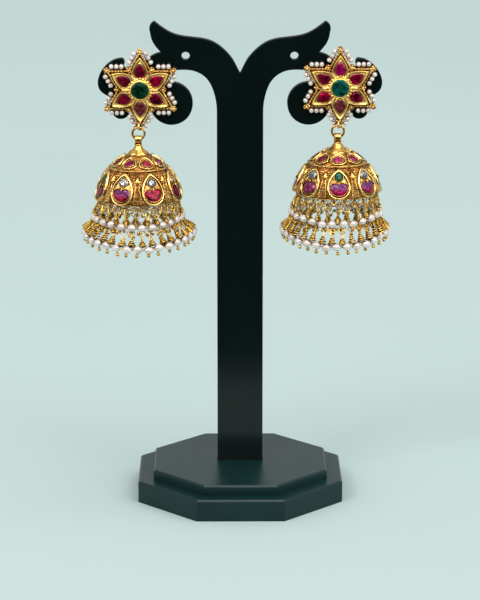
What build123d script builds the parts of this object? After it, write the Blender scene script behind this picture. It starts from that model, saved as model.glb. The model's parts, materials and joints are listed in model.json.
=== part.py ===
"""Jhumka earrings on their display stand, in millimetres.

+Z is up, the front faces -Y, and the origin is the bottom centre of the base. A sheet with a scrolled
head stands on a two-tier octagonal base. Each side of the head carries a six-petal star stud. A jump ring
hangs from the stud, and a hollow bell with a fringe of pearls hangs from the ring.
"""

import os
from math import cos, radians, sin, sqrt
from typing import NamedTuple

from build123d import *

# ---------------------------------------------------------------- stand
LOWER_TIER_WIDTH = 62.0
LOWER_TIER_CORNER = 17.9
LOWER_TIER_HEIGHT = 6.6
UPPER_TIER_WIDTH = 52.7
UPPER_TIER_CORNER = 15.3
UPPER_TIER_HEIGHT = 3.0
TIER_EDGE_BEVEL = 0.5
SHEET_THICKNESS = 3.0
POST_WIDTH = 13.8
POST_TOP = 118.4  # height where the post's sides run into the head
SLOT_CLEARANCE = 0.1
STUD_HOLE_RADIUS = 1.25
SPARE_HOLE_X = 16.1
SPARE_HOLE_Z = 134.9
HUB_RADIUS = 7.2  # disc of the head behind each stud
BALL_LOBE = (20.4, 120.65, 6.35)  # x, z, radius
FOOT_LOBE = (35.4, 118.75, 2.65)  # x, z, radius

# ---------------------------------------------------------------- where the earrings hang
STUD_X = 29.6
STUD_HOLE_Z = 125.1
HANG_Y = -4.0  # plane of the jump ring and axis of the bell
RING_BELOW_STUD = 11.9  # down to the lower wire of the stud's loop
BELL_BELOW_STUD = 14.7  # down to the lower wire of the jump ring
LOOP_SHIFT = -0.45  # the loops and bells of both earrings hang a little to the left of their studs
BELL_SHIFT = -0.65
PIECE_GAP = 0.3
STONE_GAP = 0.06


class Earring(NamedTuple):
    """One earring of the pair. It is made by hand, so the two differ a little."""

    name: str
    side: int  # of the stand, -1 or 1
    stud_z: float
    rim: float  # height of the bell's lower edge
    width: float  # factors on the bell's section
    height: float
    turn: float  # of the bell, in degrees
    finial_foot: float  # radius
    finial_top: float  # above the rim
    upper_drop: float  # of the pearl rows below the rim
    lower_drop: float
    lower_radius: float
    lower_shift: float  # of the lower row, to the right


EARRINGS = [
    Earring("left", -1, 125.1, 92.4, 1.00, 1.00, 22.5, 2.6, 16.2, 5.5, 10.9, 16.3, 0.0),
    Earring("right", 1, 125.7, 94.3, 1.00, 0.94, 0.0, 3.2, 14.9, 6.3, 12.3, 15.5, -0.6),
]

# ---------------------------------------------------------------- star stud
PETALS = 6
PLATE_THICKNESS = 1.0
PLATE_TIP = 11.3
TIP_DISC = (11.35, 0.85)  # distance from the centre, radius
NOTCH_DISC = (6.95, 0.9)
PLATE_NOTCH = 6.5
PETAL_TIP = 9.75
PETAL_HALF_WIDTH = 2.7
PETAL_BELLY = 3.9  # distance of the widest place from the centre
PETAL_ROOT = 2.2
PETAL_HEIGHT = 1.5  # above the plate
RUBY_TIP = 7.75
RUBY_ROOT = 3.75
RUBY_HALF_WIDTH = 1.6
RUBY_BELLY = 5.1
RUBY_DEPTH = 0.9
RUBY_CROWN = 0.3
COLLAR_RADIUS = 3.35
COLLAR_HEIGHT = 2.0
EMERALD_RADIUS = 2.6
EMERALD_DEPTH = 1.1
EMERALD_CROWN = 0.5
TIP_GRAIN_RADIUS = 0.55
TIP_GRAINS = [(11.75, 0.0), (11.3, 0.45), (11.3, -0.45)]  # along the petal, across it
NOTCH_GRAINS = [(7.35, 0.0), (6.55, 0.0)]
SEED_PEARL_RADIUS = 0.7
SEED_PEARLS = 3
SEED_STRING_START = (10.75, 1.72)  # along the petal, across it
SEED_STRING_END = (8.15, 3.2)
THREAD_RADIUS = 0.18
LOOP_RADIUS = 1.0
LOOP_WIRE = 0.3
EAR_POST_RADIUS = 0.55
NUT_RADIUS = 3.0
NUT_THICKNESS = 2.4
NUT_BEVEL = 0.4

# ---------------------------------------------------------------- jump ring and bail
RING_RADIUS = 1.8
RING_WIRE = 0.35
BAIL_HOLE = 0.9
BAIL_RADIUS = 1.3
BAIL_WIDTH = 2.0
BAIL_COLLAR_RADIUS = 1.25
BAIL_COLLAR_HEIGHT = 0.45
BAIL_SINK = 0.1  # of the bail into its collar
FINIAL_STEM_RADIUS = 0.9
FINIAL_FOOT_EDGE = 0.3  # thickness of the finial where it lies on the cap
FLARE_POINT = (0.6, 0.4)  # of the foot radius and of the way up, on the finial's hollow curve

# ---------------------------------------------------------------- bell, as (radius, height above the rim)
PANELS = 8
WALL = 0.55
SIDE_CENTRE = (-6.3, -3.0)  # centre of the arc of the side in a half section
SIDE_RADIUS = 19.5
CAP_CENTRE = (-7.3, -6.15)  # centre of the arc of the cap in a half section
CAP_RADIUS = 22.4
RIM_RADIUS = 12.2
RIM_BAND = 1.4
RIDGE_HEIGHT = 9.75
RIDGE_WIRE = 0.28
CAP_TOP = 14.15
PANEL_LOW = 0.25
PANEL_PROUD = 0.45
PANEL_LENGTH = 10.0
PANEL_WIDTH = 7.0
LOWER_STONE = (1.1, 3.8, 5.3)  # start above the panel's lower end, length, width
UPPER_STONE = (5.55, 3.0, 2.8)
STONE_PROUD = 0.7
BAND_MARGIN = 0.3
BEZEL_ROOT = -0.3  # depth of the bezels' roots and of the stone seats in the wall
SEAT_DEPTH = -0.25
SEAT_REACH = 2.0  # how far a seat is cut outwards
PANEL_REACH = 2.5  # half depth of a panel's outline before it is trimmed to the wall
CAP_PANEL_LENGTH = 5.2
CAP_PANEL_WIDTH = 5.0
CAP_PANEL_PROUD = 0.4
CAP_STONE = (0.9, 2.8, 3.0)
CAP_SPAN = (RIDGE_HEIGHT + 0.35, CAP_TOP - 0.3)
DROP_BELLY, DROP_WAIST = 0.42, 0.66  # widest point along a drop, and its width half way to the tip
PANEL_BELLY, PANEL_WAIST = 0.33, 0.74
CAP_BELLY, CAP_WAIST = 0.3, 0.7

# ---------------------------------------------------------------- fringe
NET_WIRE = 0.19
HOOK_BEND = 0.22
HOOK_HALF_WIDTH = 0.3
HOOK_SPREAD = 0.38  # half the width of a hook's top, as a part of its pitch
UPPER_ROW_RADIUS = 13.1
UPPER_ROW_SHIFT = -0.3
UPPER_ROW_PEARLS = 26
LOWER_ROW_PEARLS = 32
FRINGE_PEARL = 1.15
FRINGE_THREAD = 0.3
UPPER_ROW_SAG = 0.8  # the rows dip at the front and the back
LOWER_ROW_SAG = 1.1
GOLD_DROP = 0.55
WIRE_GAP = 0.15

os.makedirs("parts", exist_ok=True)
FRONT = -SHEET_THICKNESS / 2
STAR_BACK = FRONT - PIECE_GAP
STAR_FRONT = STAR_BACK - PLATE_THICKNESS


def save(builder, name):
    """Label a finished piece and write it as one STEP file."""
    builder.part.label = name
    export_step(builder.part, f"parts/{name}.step")


def save_beads(strings, pearl, thread, name):
    """Round pearls at the points of each string, joined to the next one by short lengths of thread.

    A string whose last point is its first one is a closed row. Each pearl's own axis lies along its thread.
    """
    with BuildPart() as beads:
        gaps = []
        seats = []
        for string in strings:
            for here, there in zip(string, string[1:]):
                along = (there - here).normalized()
                gaps.append((there - here).length)
                with BuildSketch(Plane(origin=here + along * pearl / 2, z_dir=along)):
                    Circle(thread)
            closed = string[0] == string[-1]
            ends = (string[-2], string[1]) if closed else (string[0], string[-1])
            for before, here, after in zip(
                [ends[0], *string[:-1]], string[:-1] if closed else string, [*string[1:], ends[1]]
            ):
                seats.append(Plane(origin=here, z_dir=after - before).location)
        extrude(amount=max(gaps) - pearl)
        with Locations(*seats):
            Sphere(pearl)
    save(beads, name)


def front_plane(x, y, z):
    """Upright plane whose normal points to the front, with its own X to the right and Y up."""
    return Plane(origin=(x, y, z), x_dir=(1, 0, 0), z_dir=(0, -1, 0))


def octagon(width, corner):
    """Square with its corners cut off."""
    half = width / 2
    inner = half - corner
    quarter = [(half, -inner), (half, inner), (inner, half), (-inner, half)]
    with BuildSketch() as outline:
        Polygon(*quarter, *[(-x, -y) for x, y in quarter], align=None)
    return outline.sketch


# ================================================================ stand
def build_base():
    with BuildPart() as base_lower_tier:
        with BuildSketch():
            add(octagon(LOWER_TIER_WIDTH, LOWER_TIER_CORNER))
        extrude(amount=LOWER_TIER_HEIGHT)
        chamfer(base_lower_tier.faces().sort_by(Axis.Z)[-1].edges(), TIER_EDGE_BEVEL)
    save(base_lower_tier, "base_lower_tier")

    with BuildPart() as base_upper_tier:
        with BuildSketch(Plane.XY.offset(LOWER_TIER_HEIGHT)):
            add(octagon(UPPER_TIER_WIDTH, UPPER_TIER_CORNER))
        extrude(amount=UPPER_TIER_HEIGHT)
        chamfer(base_upper_tier.faces().sort_by(Axis.Z)[-1].edges(), TIER_EDGE_BEVEL)
        with BuildSketch(Plane.XY.offset(LOWER_TIER_HEIGHT)):
            Rectangle(POST_WIDTH + 2 * SLOT_CLEARANCE, SHEET_THICKNESS + 2 * SLOT_CLEARANCE)
        extrude(amount=UPPER_TIER_HEIGHT, mode=Mode.SUBTRACT)
    save(base_upper_tier, "base_upper_tier")


def head_half():
    """Right half of the sheet: post, arm with its pointed crest, and the lobes round the stud's hub."""
    with BuildSketch() as half:
        with BuildLine():
            Line((0, LOWER_TIER_HEIGHT), (POST_WIDTH / 2, LOWER_TIER_HEIGHT))
            Line((POST_WIDTH / 2, LOWER_TIER_HEIGHT), (POST_WIDTH / 2, POST_TOP))
            Spline(
                (POST_WIDTH / 2, POST_TOP),
                (7.6, 123.5),
                (9.7, 127.95),
                (13.6, 130.45),
                (18.7, 130.75),
                (22.6, 129.15),
                tangents=((0, 1), (1, -1)),
            )
            Line((22.6, 129.15), (STUD_X, STUD_HOLE_Z))
            Line((STUD_X, STUD_HOLE_Z), (28.0, 133.25))
            ThreePointArc((28.0, 133.25), (25.6, 135.15), (23.3, 135.85))
            Spline((23.3, 135.85), (25.8, 139.1), (26.6, 142.25), tangents=((1, 1.2), (0.1, 1)))
            ThreePointArc((26.6, 142.25), (26.4, 144.25), (25.3, 145.05))
            Spline(
                (25.3, 145.05),
                (19.5, 141.35),
                (13.3, 140.25),
                (8.0, 139.0),
                (3.0, 134.9),
                (0, 129.6),
                tangents=((-1, -0.8), (-0.5, -1)),
            )
            Line((0, 129.6), (0, LOWER_TIER_HEIGHT))
        make_face()
        for x, z, radius in (BALL_LOBE, FOOT_LOBE, (STUD_X, STUD_HOLE_Z, HUB_RADIUS)):
            with Locations((x, z)):
                Circle(radius)
        with BuildLine():
            Spline(
                (36.5, 122.25),
                (39.3, 123.05),
                (41.7, 125.0),
                (42.1, 127.8),
                (40.8, 130.7),
                (37.7, 133.45),
                (34.9, 134.1),
            )
            ThreePointArc((34.9, 134.1), (34.25, 133.35), (34.6, 131.95))
            Line((34.6, 131.95), (STUD_X, STUD_HOLE_Z))
            Line((STUD_X, STUD_HOLE_Z), (36.5, 122.25))
        make_face()
    return half.sketch


def build_stand_plate():
    with BuildPart() as stand_plate:
        with BuildSketch(front_plane(0, SHEET_THICKNESS / 2, 0)):
            add(head_half())
            mirror(about=Plane.YZ)
            holes = ((SPARE_HOLE_X, SPARE_HOLE_Z), (STUD_X, STUD_HOLE_Z))
            with Locations(*[(side * x, z) for side in (-1, 1) for x, z in holes]):
                Circle(STUD_HOLE_RADIUS, mode=Mode.SUBTRACT)
        extrude(amount=SHEET_THICKNESS)
    save(stand_plate, "stand_plate")


# ================================================================ star stud
def drop_outline(root, belly, tip, half_width, waist=DROP_WAIST):
    """Drop along its own X: round end at root, widest at belly, pointed at tip."""
    shoulder = belly + 0.55 * (tip - belly)
    with BuildSketch() as outline:
        with BuildLine():
            ThreePointArc((belly, half_width), (root, 0), (belly, -half_width))
            ThreePointArc((belly, -half_width), (shoulder, -waist * half_width), (tip, 0))
            ThreePointArc((tip, 0), (shoulder, waist * half_width), (belly, half_width))
        make_face()
    return outline.sketch


def petal_turns():
    """Angles of the petals, clockwise from the top."""
    return [90 - 360 / PETALS * k for k in range(PETALS)]


def on_ray(along, across, turn):
    """Point of the star given along and across a petal."""
    c, s = cos(radians(turn)), sin(radians(turn))
    return (along * c - across * s, along * s + across * c)


def build_star_frame(side, x, z):
    with BuildPart() as star_frame:
        with BuildSketch(front_plane(x, STAR_BACK, z)):
            corners = []
            for turn in petal_turns():
                corners.append(on_ray(PLATE_TIP, 0, turn))
                corners.append(on_ray(PLATE_NOTCH, 0, turn - 180 / PETALS))
            Polygon(*corners, align=None)
            for turn in petal_turns():
                with Locations(on_ray(NOTCH_DISC[0], 0, turn - 180 / PETALS)):
                    Circle(NOTCH_DISC[1])
                if turn != -90:
                    with Locations(on_ray(TIP_DISC[0], 0, turn)):
                        Circle(TIP_DISC[1])
        extrude(amount=PLATE_THICKNESS)
        with BuildSketch(front_plane(x, STAR_FRONT, z)):
            for turn in petal_turns():
                add(drop_outline(PETAL_ROOT, PETAL_BELLY, PETAL_TIP, PETAL_HALF_WIDTH), rotation=turn)
        extrude(amount=PETAL_HEIGHT)
        with BuildSketch(front_plane(x, STAR_FRONT, z)):
            Circle(COLLAR_RADIUS)
        extrude(amount=COLLAR_HEIGHT)
        with BuildSketch(front_plane(x, STAR_FRONT - PETAL_HEIGHT + RUBY_DEPTH, z)):
            for turn in petal_turns():
                add(drop_outline(RUBY_ROOT, RUBY_BELLY, RUBY_TIP, RUBY_HALF_WIDTH), rotation=turn)
        extrude(amount=RUBY_DEPTH, mode=Mode.SUBTRACT)
        with BuildSketch(front_plane(x, STAR_FRONT - COLLAR_HEIGHT + EMERALD_DEPTH, z)):
            Circle(EMERALD_RADIUS + STONE_GAP)
        extrude(amount=EMERALD_DEPTH, mode=Mode.SUBTRACT)
        grain_places = []
        for turn in petal_turns():
            if turn != -90:
                grain_places += [on_ray(a, b, turn) for a, b in TIP_GRAINS]
            grain_places += [on_ray(a, b, turn - 180 / PETALS) for a, b in NOTCH_GRAINS]
        with Locations(*[Location((x + u, STAR_FRONT, z + v), (90, 0, 0)) for u, v in grain_places]):
            Sphere(TIP_GRAIN_RADIUS)
        # the loop under the lowest tip stands across the sheet, so that the ring can face the front
        loop_z = z - RING_BELOW_STUD + LOOP_RADIUS
        with Locations(Location((x + LOOP_SHIFT, HANG_Y, loop_z), (0, 90, 0))):
            Torus(LOOP_RADIUS, LOOP_WIRE)
        with Locations((x + LOOP_SHIFT, (STAR_FRONT + HANG_Y) / 2, loop_z + LOOP_RADIUS)):
            Box(2 * LOOP_WIRE, abs(HANG_Y - STAR_FRONT) + 2 * LOOP_WIRE, 2 * LOOP_WIRE)
    save(star_frame, f"{side}_star_frame")


def build_star_stones(side, x, z):
    seat_y = STAR_FRONT - PETAL_HEIGHT + RUBY_DEPTH - STONE_GAP
    girdle = RUBY_DEPTH - STONE_GAP
    inset = STONE_GAP
    table_inset = STONE_GAP + RUBY_CROWN
    outlines = [
        drop_outline(RUBY_ROOT + d, RUBY_BELLY, RUBY_TIP - 2 * d, RUBY_HALF_WIDTH - d)
        for d in (inset, table_inset)
    ]
    for number, turn in enumerate(petal_turns(), start=1):
        with BuildPart() as ruby:
            with BuildSketch(front_plane(x, seat_y, z)):
                add(outlines[0], rotation=turn)
            extrude(amount=girdle)
            with BuildSketch(front_plane(x, seat_y - girdle, z)):
                add(outlines[0], rotation=turn)
            with BuildSketch(front_plane(x, seat_y - girdle - RUBY_CROWN, z)):
                add(outlines[1], rotation=turn)
            loft(ruled=True)
        save(ruby, f"{side}_star_ruby_{number}")

    with BuildPart() as star_emerald:
        with BuildSketch(front_plane(x, STAR_FRONT - COLLAR_HEIGHT + EMERALD_DEPTH - STONE_GAP, z)):
            Circle(EMERALD_RADIUS)
        extrude(amount=EMERALD_DEPTH - STONE_GAP + EMERALD_CROWN)
        chamfer(star_emerald.faces().sort_by(Axis.Y)[0].edges(), EMERALD_CROWN)
    save(star_emerald, f"{side}_star_emerald")


def build_star_pearls(side, x, z):
    """Twelve separate strings, one along each slanted edge of the star."""
    strings = []
    for turn in petal_turns():
        for edge in (-1, 1):
            start, end = [on_ray(a, edge * b, turn) for a, b in (SEED_STRING_START, SEED_STRING_END)]
            strings.append([])
            for k in range(SEED_PEARLS):
                t = k / (SEED_PEARLS - 1)
                u, v = [start[i] + t * (end[i] - start[i]) for i in (0, 1)]
                strings[-1].append(Vector(x + u, STAR_FRONT, z + v))
    save_beads(strings, SEED_PEARL_RADIUS, THREAD_RADIUS, f"{side}_star_pearls")


def build_ear_post(side, x, z):
    with BuildPart() as ear_post:
        nut_front = -FRONT + PIECE_GAP
        with BuildSketch(front_plane(x, nut_front + NUT_THICKNESS, z)):
            Circle(NUT_RADIUS)
        extrude(amount=NUT_THICKNESS)
        chamfer(ear_post.edges().filter_by(GeomType.CIRCLE), NUT_BEVEL)
        with BuildSketch(front_plane(x, nut_front, z)):
            Circle(EAR_POST_RADIUS)
        extrude(amount=nut_front - STAR_BACK)
    save(ear_post, f"{side}_ear_post")


def build_jump_ring(side, x, z):
    """Ring whose top is on the stud's loop and whose bottom carries the bell."""
    ring_x = x + (LOOP_SHIFT + BELL_SHIFT) / 2
    with BuildPart() as jump_ring:
        with Locations(Location((ring_x, HANG_Y, z - BELL_BELOW_STUD + RING_RADIUS), (90, 0, 0))):
            Torus(RING_RADIUS, RING_WIRE)
    save(jump_ring, f"{side}_jump_ring")


# ================================================================ bell
def side_radius(height, proud=0.0):
    return SIDE_CENTRE[0] + sqrt((SIDE_RADIUS + proud) ** 2 - (height - SIDE_CENTRE[1]) ** 2)


def cap_radius(height, proud=0.0):
    return CAP_CENTRE[0] + sqrt((CAP_RADIUS + proud) ** 2 - (height - CAP_CENTRE[1]) ** 2)


class Bell:
    """Half section of one bell: its own width and height factors, its axis and its rim height."""

    def __init__(self, x, rim, width, height):
        self.x = x
        self.rim = rim
        self.width = width
        self.height = height
        self.section = Plane(origin=(x, HANG_Y, rim), x_dir=(1, 0, 0), z_dir=(0, -1, 0))
        self.axis = Axis((x, HANG_Y, rim), (0, 0, 1))

    def point(self, radius, height):
        return (radius * self.width, height * self.height)

    def arc(self, curve, low, high, proud):
        """Three points of a curve between two heights, for an arc."""
        heights = (low, (low + high) / 2, high)
        return [self.point(curve(h, proud), h) for h in heights]

    def band(self, curve, low, high, inner, outer):
        """Ring-shaped slice between two offsets of a curve, in the section's own axes."""
        inside = self.arc(curve, low, high, inner)
        outside = self.arc(curve, low, high, outer)
        with BuildSketch() as slice_of_wall:
            with BuildLine():
                ThreePointArc(*inside)
                ThreePointArc(*outside)
                Line(inside[0], outside[0])
                Line(inside[2], outside[2])
            make_face()
        return slice_of_wall.sketch

    def panel_plane(self, curve, low, high, turn):
        """Plane touching a curve's chord, origin at its lower end, its own Y up the slope."""
        r0, h0 = self.point(curve(low), low)
        r1, h1 = self.point(curve(high), high)
        a = radians(turn - 90)
        upward = Vector((r1 - r0) * cos(a), (r1 - r0) * sin(a), h1 - h0)
        across = Vector(-sin(a), cos(a), 0)
        foot = (self.x + r0 * cos(a), HANG_Y + r0 * sin(a), self.rim + h0)
        return Plane(origin=foot, x_dir=across, z_dir=across.cross(upward))


def heart_outline(low, length, width, gap):
    """Wide stone standing on its own Y, with a small notch at its top."""
    w = width / 2 - gap
    bottom, top = low + gap, low + length - gap
    middle = (bottom + top) / 2
    notch = top - 0.16 * length
    with BuildSketch() as outline:
        with BuildLine():
            ThreePointArc((-w, middle), (0, bottom), (w, middle))
            ThreePointArc((w, middle), (0.86 * w, top - 0.1 * length), (0.45 * w, top))
            Line((0.45 * w, top), (0, notch))
            Line((0, notch), (-0.45 * w, top))
            ThreePointArc((-0.45 * w, top), (-0.86 * w, top - 0.1 * length), (-w, middle))
        make_face()
    return outline.sketch


def upright_drop(low, length, width, gap, belly=DROP_BELLY, waist=DROP_WAIST):
    """Drop standing on its own Y, round below and pointed above."""
    with BuildSketch() as outline:
        add(
            drop_outline(low + gap, low + belly * length, low + length - 1.5 * gap, width / 2 - gap, waist),
            rotation=90,
        )
    return outline.sketch


def panel_pieces(bell_shape, curve, span, band, turns, outline):
    """Outlines pushed through the wall along each panel's normal and kept only inside a band of the wall."""
    low, high = span
    with BuildPart() as pieces:
        for turn in turns:
            with BuildSketch(bell_shape.panel_plane(curve, low, high, turn)):
                add(outline)
            extrude(amount=PANEL_REACH, both=True)
        with BuildSketch(bell_shape.section):
            add(bell_shape.band(curve, low - BAND_MARGIN, high + BAND_MARGIN, *band))
        revolve(axis=bell_shape.axis, mode=Mode.INTERSECT)
    return pieces.part


def build_bell(earring, bell_shape, pivot_z):
    side, x = earring.name, bell_shape.x
    turns = [earring.turn + 360 / PANELS * k for k in range(PANELS)]
    side_span = (PANEL_LOW, RIDGE_HEIGHT)
    panel = upright_drop(0.0, PANEL_LENGTH * bell_shape.height, PANEL_WIDTH, 0.0, PANEL_BELLY, PANEL_WAIST)
    cap_panel = upright_drop(0.0, CAP_PANEL_LENGTH, CAP_PANEL_WIDTH, 0.0, CAP_BELLY, CAP_WAIST)
    raised, cap_raised = (BEZEL_ROOT, PANEL_PROUD), (BEZEL_ROOT, CAP_PANEL_PROUD)
    bezels = panel_pieces(bell_shape, side_radius, side_span, raised, turns, panel)
    cap_bezels = panel_pieces(bell_shape, cap_radius, CAP_SPAN, cap_raised, turns, cap_panel)
    cutting = (SEAT_DEPTH, SEAT_REACH)
    seats = [
        panel_pieces(bell_shape, side_radius, side_span, cutting, turns, heart_outline(*LOWER_STONE, 0.0)),
        panel_pieces(bell_shape, side_radius, side_span, cutting, turns, upright_drop(*UPPER_STONE, 0.0)),
        panel_pieces(bell_shape, cap_radius, CAP_SPAN, cutting, turns, upright_drop(*CAP_STONE, 0.0)),
    ]
    with BuildPart() as bell:
        with BuildSketch(bell_shape.section):
            outside = bell_shape.arc(side_radius, RIM_BAND, RIDGE_HEIGHT, 0.0)
            inside = bell_shape.arc(side_radius, RIM_BAND, RIDGE_HEIGHT, -WALL)
            foot_height = CAP_CENTRE[1] + sqrt(CAP_RADIUS**2 - (earring.finial_foot - CAP_CENTRE[0]) ** 2)
            cap_outside = bell_shape.arc(cap_radius, RIDGE_HEIGHT, foot_height, 0.0)
            cap_inside = bell_shape.arc(cap_radius, RIDGE_HEIGHT, CAP_TOP - WALL, -WALL)
            rim_out = bell_shape.point(RIM_RADIUS, 0)
            rim_in = bell_shape.point(RIM_RADIUS - WALL, 0)
            foot = (cap_outside[2][0], cap_outside[2][1] + FINIAL_FOOT_EDGE)
            neck = (FINIAL_STEM_RADIUS, earring.finial_top)
            flare = (foot[0] * FLARE_POINT[0], foot[1] + FLARE_POINT[1] * (neck[1] - foot[1]))
            collar_top = pivot_z - earring.rim - BAIL_RADIUS + BAIL_SINK
            collar_low = collar_top - BAIL_COLLAR_HEIGHT
            with BuildLine():
                Polyline(inside[0], rim_in, rim_out, outside[0])
                ThreePointArc(*outside)
                Line(outside[2], cap_outside[0])
                ThreePointArc(*cap_outside)
                Line(cap_outside[2], foot)
                ThreePointArc(foot, flare, neck)
                Polyline(
                    neck,
                    (FINIAL_STEM_RADIUS, collar_low),
                    (BAIL_COLLAR_RADIUS, collar_low),
                    (BAIL_COLLAR_RADIUS, collar_top),
                    (0, collar_top),
                    (0, cap_inside[2][1]),
                    cap_inside[2],
                )
                ThreePointArc(*cap_inside)
                Line(cap_inside[0], inside[2])
                ThreePointArc(*inside)
            make_face()
        revolve(axis=bell_shape.axis)
        with BuildSketch(bell_shape.section):
            with Locations(bell_shape.point(side_radius(RIDGE_HEIGHT), RIDGE_HEIGHT)):
                Circle(RIDGE_WIRE)
        revolve(axis=bell_shape.axis)
        add(bezels)
        add(cap_bezels)
        for seat in seats:
            add(seat, mode=Mode.SUBTRACT)
        with Locations(Location((x, HANG_Y, pivot_z), (0, 90, 0))):
            Cylinder(BAIL_RADIUS, BAIL_WIDTH)
            Cylinder(BAIL_HOLE, BAIL_WIDTH + 1, mode=Mode.SUBTRACT)
    save(bell, f"{side}_bell")

    seated = (SEAT_DEPTH + STONE_GAP, STONE_PROUD)
    heart = heart_outline(*LOWER_STONE, STONE_GAP)
    for number, turn in enumerate(turns, start=1):
        with BuildPart() as bell_ruby:
            add(panel_pieces(bell_shape, side_radius, side_span, seated, [turn], heart))
        save(bell_ruby, f"{side}_bell_ruby_{number}")
    with BuildPart() as bell_upper_stones:
        drop = upright_drop(*UPPER_STONE, STONE_GAP)
        add(panel_pieces(bell_shape, side_radius, side_span, seated, turns, drop))
    save(bell_upper_stones, f"{side}_bell_upper_stones")
    with BuildPart() as bell_cap_rubies:
        drop = upright_drop(*CAP_STONE, STONE_GAP)
        add(panel_pieces(bell_shape, cap_radius, CAP_SPAN, seated, turns, drop))
    save(bell_cap_rubies, f"{side}_bell_cap_rubies")


# ================================================================ fringe
def row_place(centre_x, rim, radius, drop, sag, angle):
    """Point of a hanging row: it dips at the front and the back and rises at the sides."""
    a = radians(angle)
    return Vector(
        centre_x + radius * cos(a),
        HANG_Y + radius * sin(a),
        rim - drop + sag * cos(2 * a),
    )


def closed_row(place, count):
    """Points of a closed row, with the first one repeated at the end."""
    return [place(360 / count * (k % count)) for k in range(count + 1)]


def net(name, hooks, top_place, low_place, spread):
    """Row of wire hooks: each comes down from two places of the row above and passes under to the other."""
    step = 360 / hooks
    with BuildPart() as wires:
        bent = []
        for k in range(hooks):
            middle = step * (k + 0.5)
            left, right = top_place(middle - spread * step), top_place(middle + spread * step)
            foot = low_place(middle)
            toe = (right - left).normalized() * HOOK_HALF_WIDTH
            with BuildLine(mode=Mode.PRIVATE) as route:
                FilletPolyline(left, foot - toe, foot + toe, right, radius=HOOK_BEND)
            with BuildSketch(Plane(origin=left, z_dir=foot - toe - left), mode=Mode.PRIVATE) as section:
                Circle(NET_WIRE)
            bent.append(sweep(section.sketch, route.wires()[0], mode=Mode.PRIVATE))
        add(bent)
    save(wires, name)


def build_fringe(earring, bell_shape):
    side, x, rim = earring.name, bell_shape.x, bell_shape.rim

    def upper_row(angle, lift=0.0):
        drop = earring.upper_drop - lift
        return row_place(x + UPPER_ROW_SHIFT, rim, UPPER_ROW_RADIUS, drop, UPPER_ROW_SAG, angle)

    def lower_row(angle, lift=0.0):
        drop = earring.lower_drop - lift
        return row_place(x + earring.lower_shift, rim, earring.lower_radius, drop, LOWER_ROW_SAG, angle)

    def rim_row(angle):
        return row_place(x, rim, (RIM_RADIUS - WALL / 2) * bell_shape.width, NET_WIRE + WIRE_GAP, 0.0, angle)

    on_thread = FRINGE_THREAD + NET_WIRE + WIRE_GAP
    under_pearl = FRINGE_PEARL + NET_WIRE + WIRE_GAP
    net(f"{side}_upper_net", UPPER_ROW_PEARLS, rim_row, lambda a: upper_row(a, on_thread), HOOK_SPREAD)
    row = closed_row(upper_row, UPPER_ROW_PEARLS)
    save_beads([row], FRINGE_PEARL, FRINGE_THREAD, f"{side}_upper_pearl_row")
    net(
        f"{side}_lower_net",
        LOWER_ROW_PEARLS,
        lambda a: upper_row(a, -under_pearl),
        lambda a: lower_row(a, on_thread),
        HOOK_SPREAD,
    )
    row = closed_row(lower_row, LOWER_ROW_PEARLS)
    save_beads([row], FRINGE_PEARL, FRINGE_THREAD, f"{side}_lower_pearl_row")

    with BuildPart() as gold_drops:
        hang = FRINGE_PEARL + GOLD_DROP + WIRE_GAP
        with Locations(*[lower_row(360 / LOWER_ROW_PEARLS * k, -hang) for k in range(LOWER_ROW_PEARLS)]):
            Sphere(GOLD_DROP)
    save(gold_drops, f"{side}_gold_drops")


# ================================================================ the whole
build_base()
build_stand_plate()
for earring in EARRINGS:
    stud = (earring.name, earring.side * STUD_X, earring.stud_z)
    build_star_frame(*stud)
    build_star_stones(*stud)
    build_star_pearls(*stud)
    build_ear_post(*stud)
    build_jump_ring(*stud)
    shape = Bell(earring.side * STUD_X + BELL_SHIFT, earring.rim, earring.width, earring.height)
    build_bell(earring, shape, earring.stud_z - BELL_BELOW_STUD)
    build_fringe(earring, shape)
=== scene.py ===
"""Looks of the jhumka earrings on their stand. Shapes are worked out in millimetres and made in metres."""

import json
import random
from math import atan2, cos, hypot, pi, radians, sin, sqrt
from typing import NamedTuple

import bmesh
import bpy
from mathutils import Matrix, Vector


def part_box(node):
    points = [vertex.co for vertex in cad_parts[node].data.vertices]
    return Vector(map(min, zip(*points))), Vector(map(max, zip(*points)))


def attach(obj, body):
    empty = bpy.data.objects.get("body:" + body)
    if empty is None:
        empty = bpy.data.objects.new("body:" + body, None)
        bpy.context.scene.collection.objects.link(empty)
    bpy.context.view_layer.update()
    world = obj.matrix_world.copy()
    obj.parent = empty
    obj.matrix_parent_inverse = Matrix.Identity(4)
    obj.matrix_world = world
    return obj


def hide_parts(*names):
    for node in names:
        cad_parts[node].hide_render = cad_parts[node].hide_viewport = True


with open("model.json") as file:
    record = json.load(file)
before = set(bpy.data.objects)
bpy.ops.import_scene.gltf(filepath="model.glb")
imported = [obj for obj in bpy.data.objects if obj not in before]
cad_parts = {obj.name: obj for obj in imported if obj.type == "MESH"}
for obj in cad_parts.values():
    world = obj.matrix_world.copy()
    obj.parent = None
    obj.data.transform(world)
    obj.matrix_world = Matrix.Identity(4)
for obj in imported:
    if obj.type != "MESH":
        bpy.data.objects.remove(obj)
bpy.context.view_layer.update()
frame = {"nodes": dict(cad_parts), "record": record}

MM = 0.001
TAU = 2 * pi
WHITE = (1.0, 1.0, 1.0)
X_AXIS, Y_AXIS, Z_AXIS = Vector((1, 0, 0)), Vector((0, 1, 0)), Vector((0, 0, 1))

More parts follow.
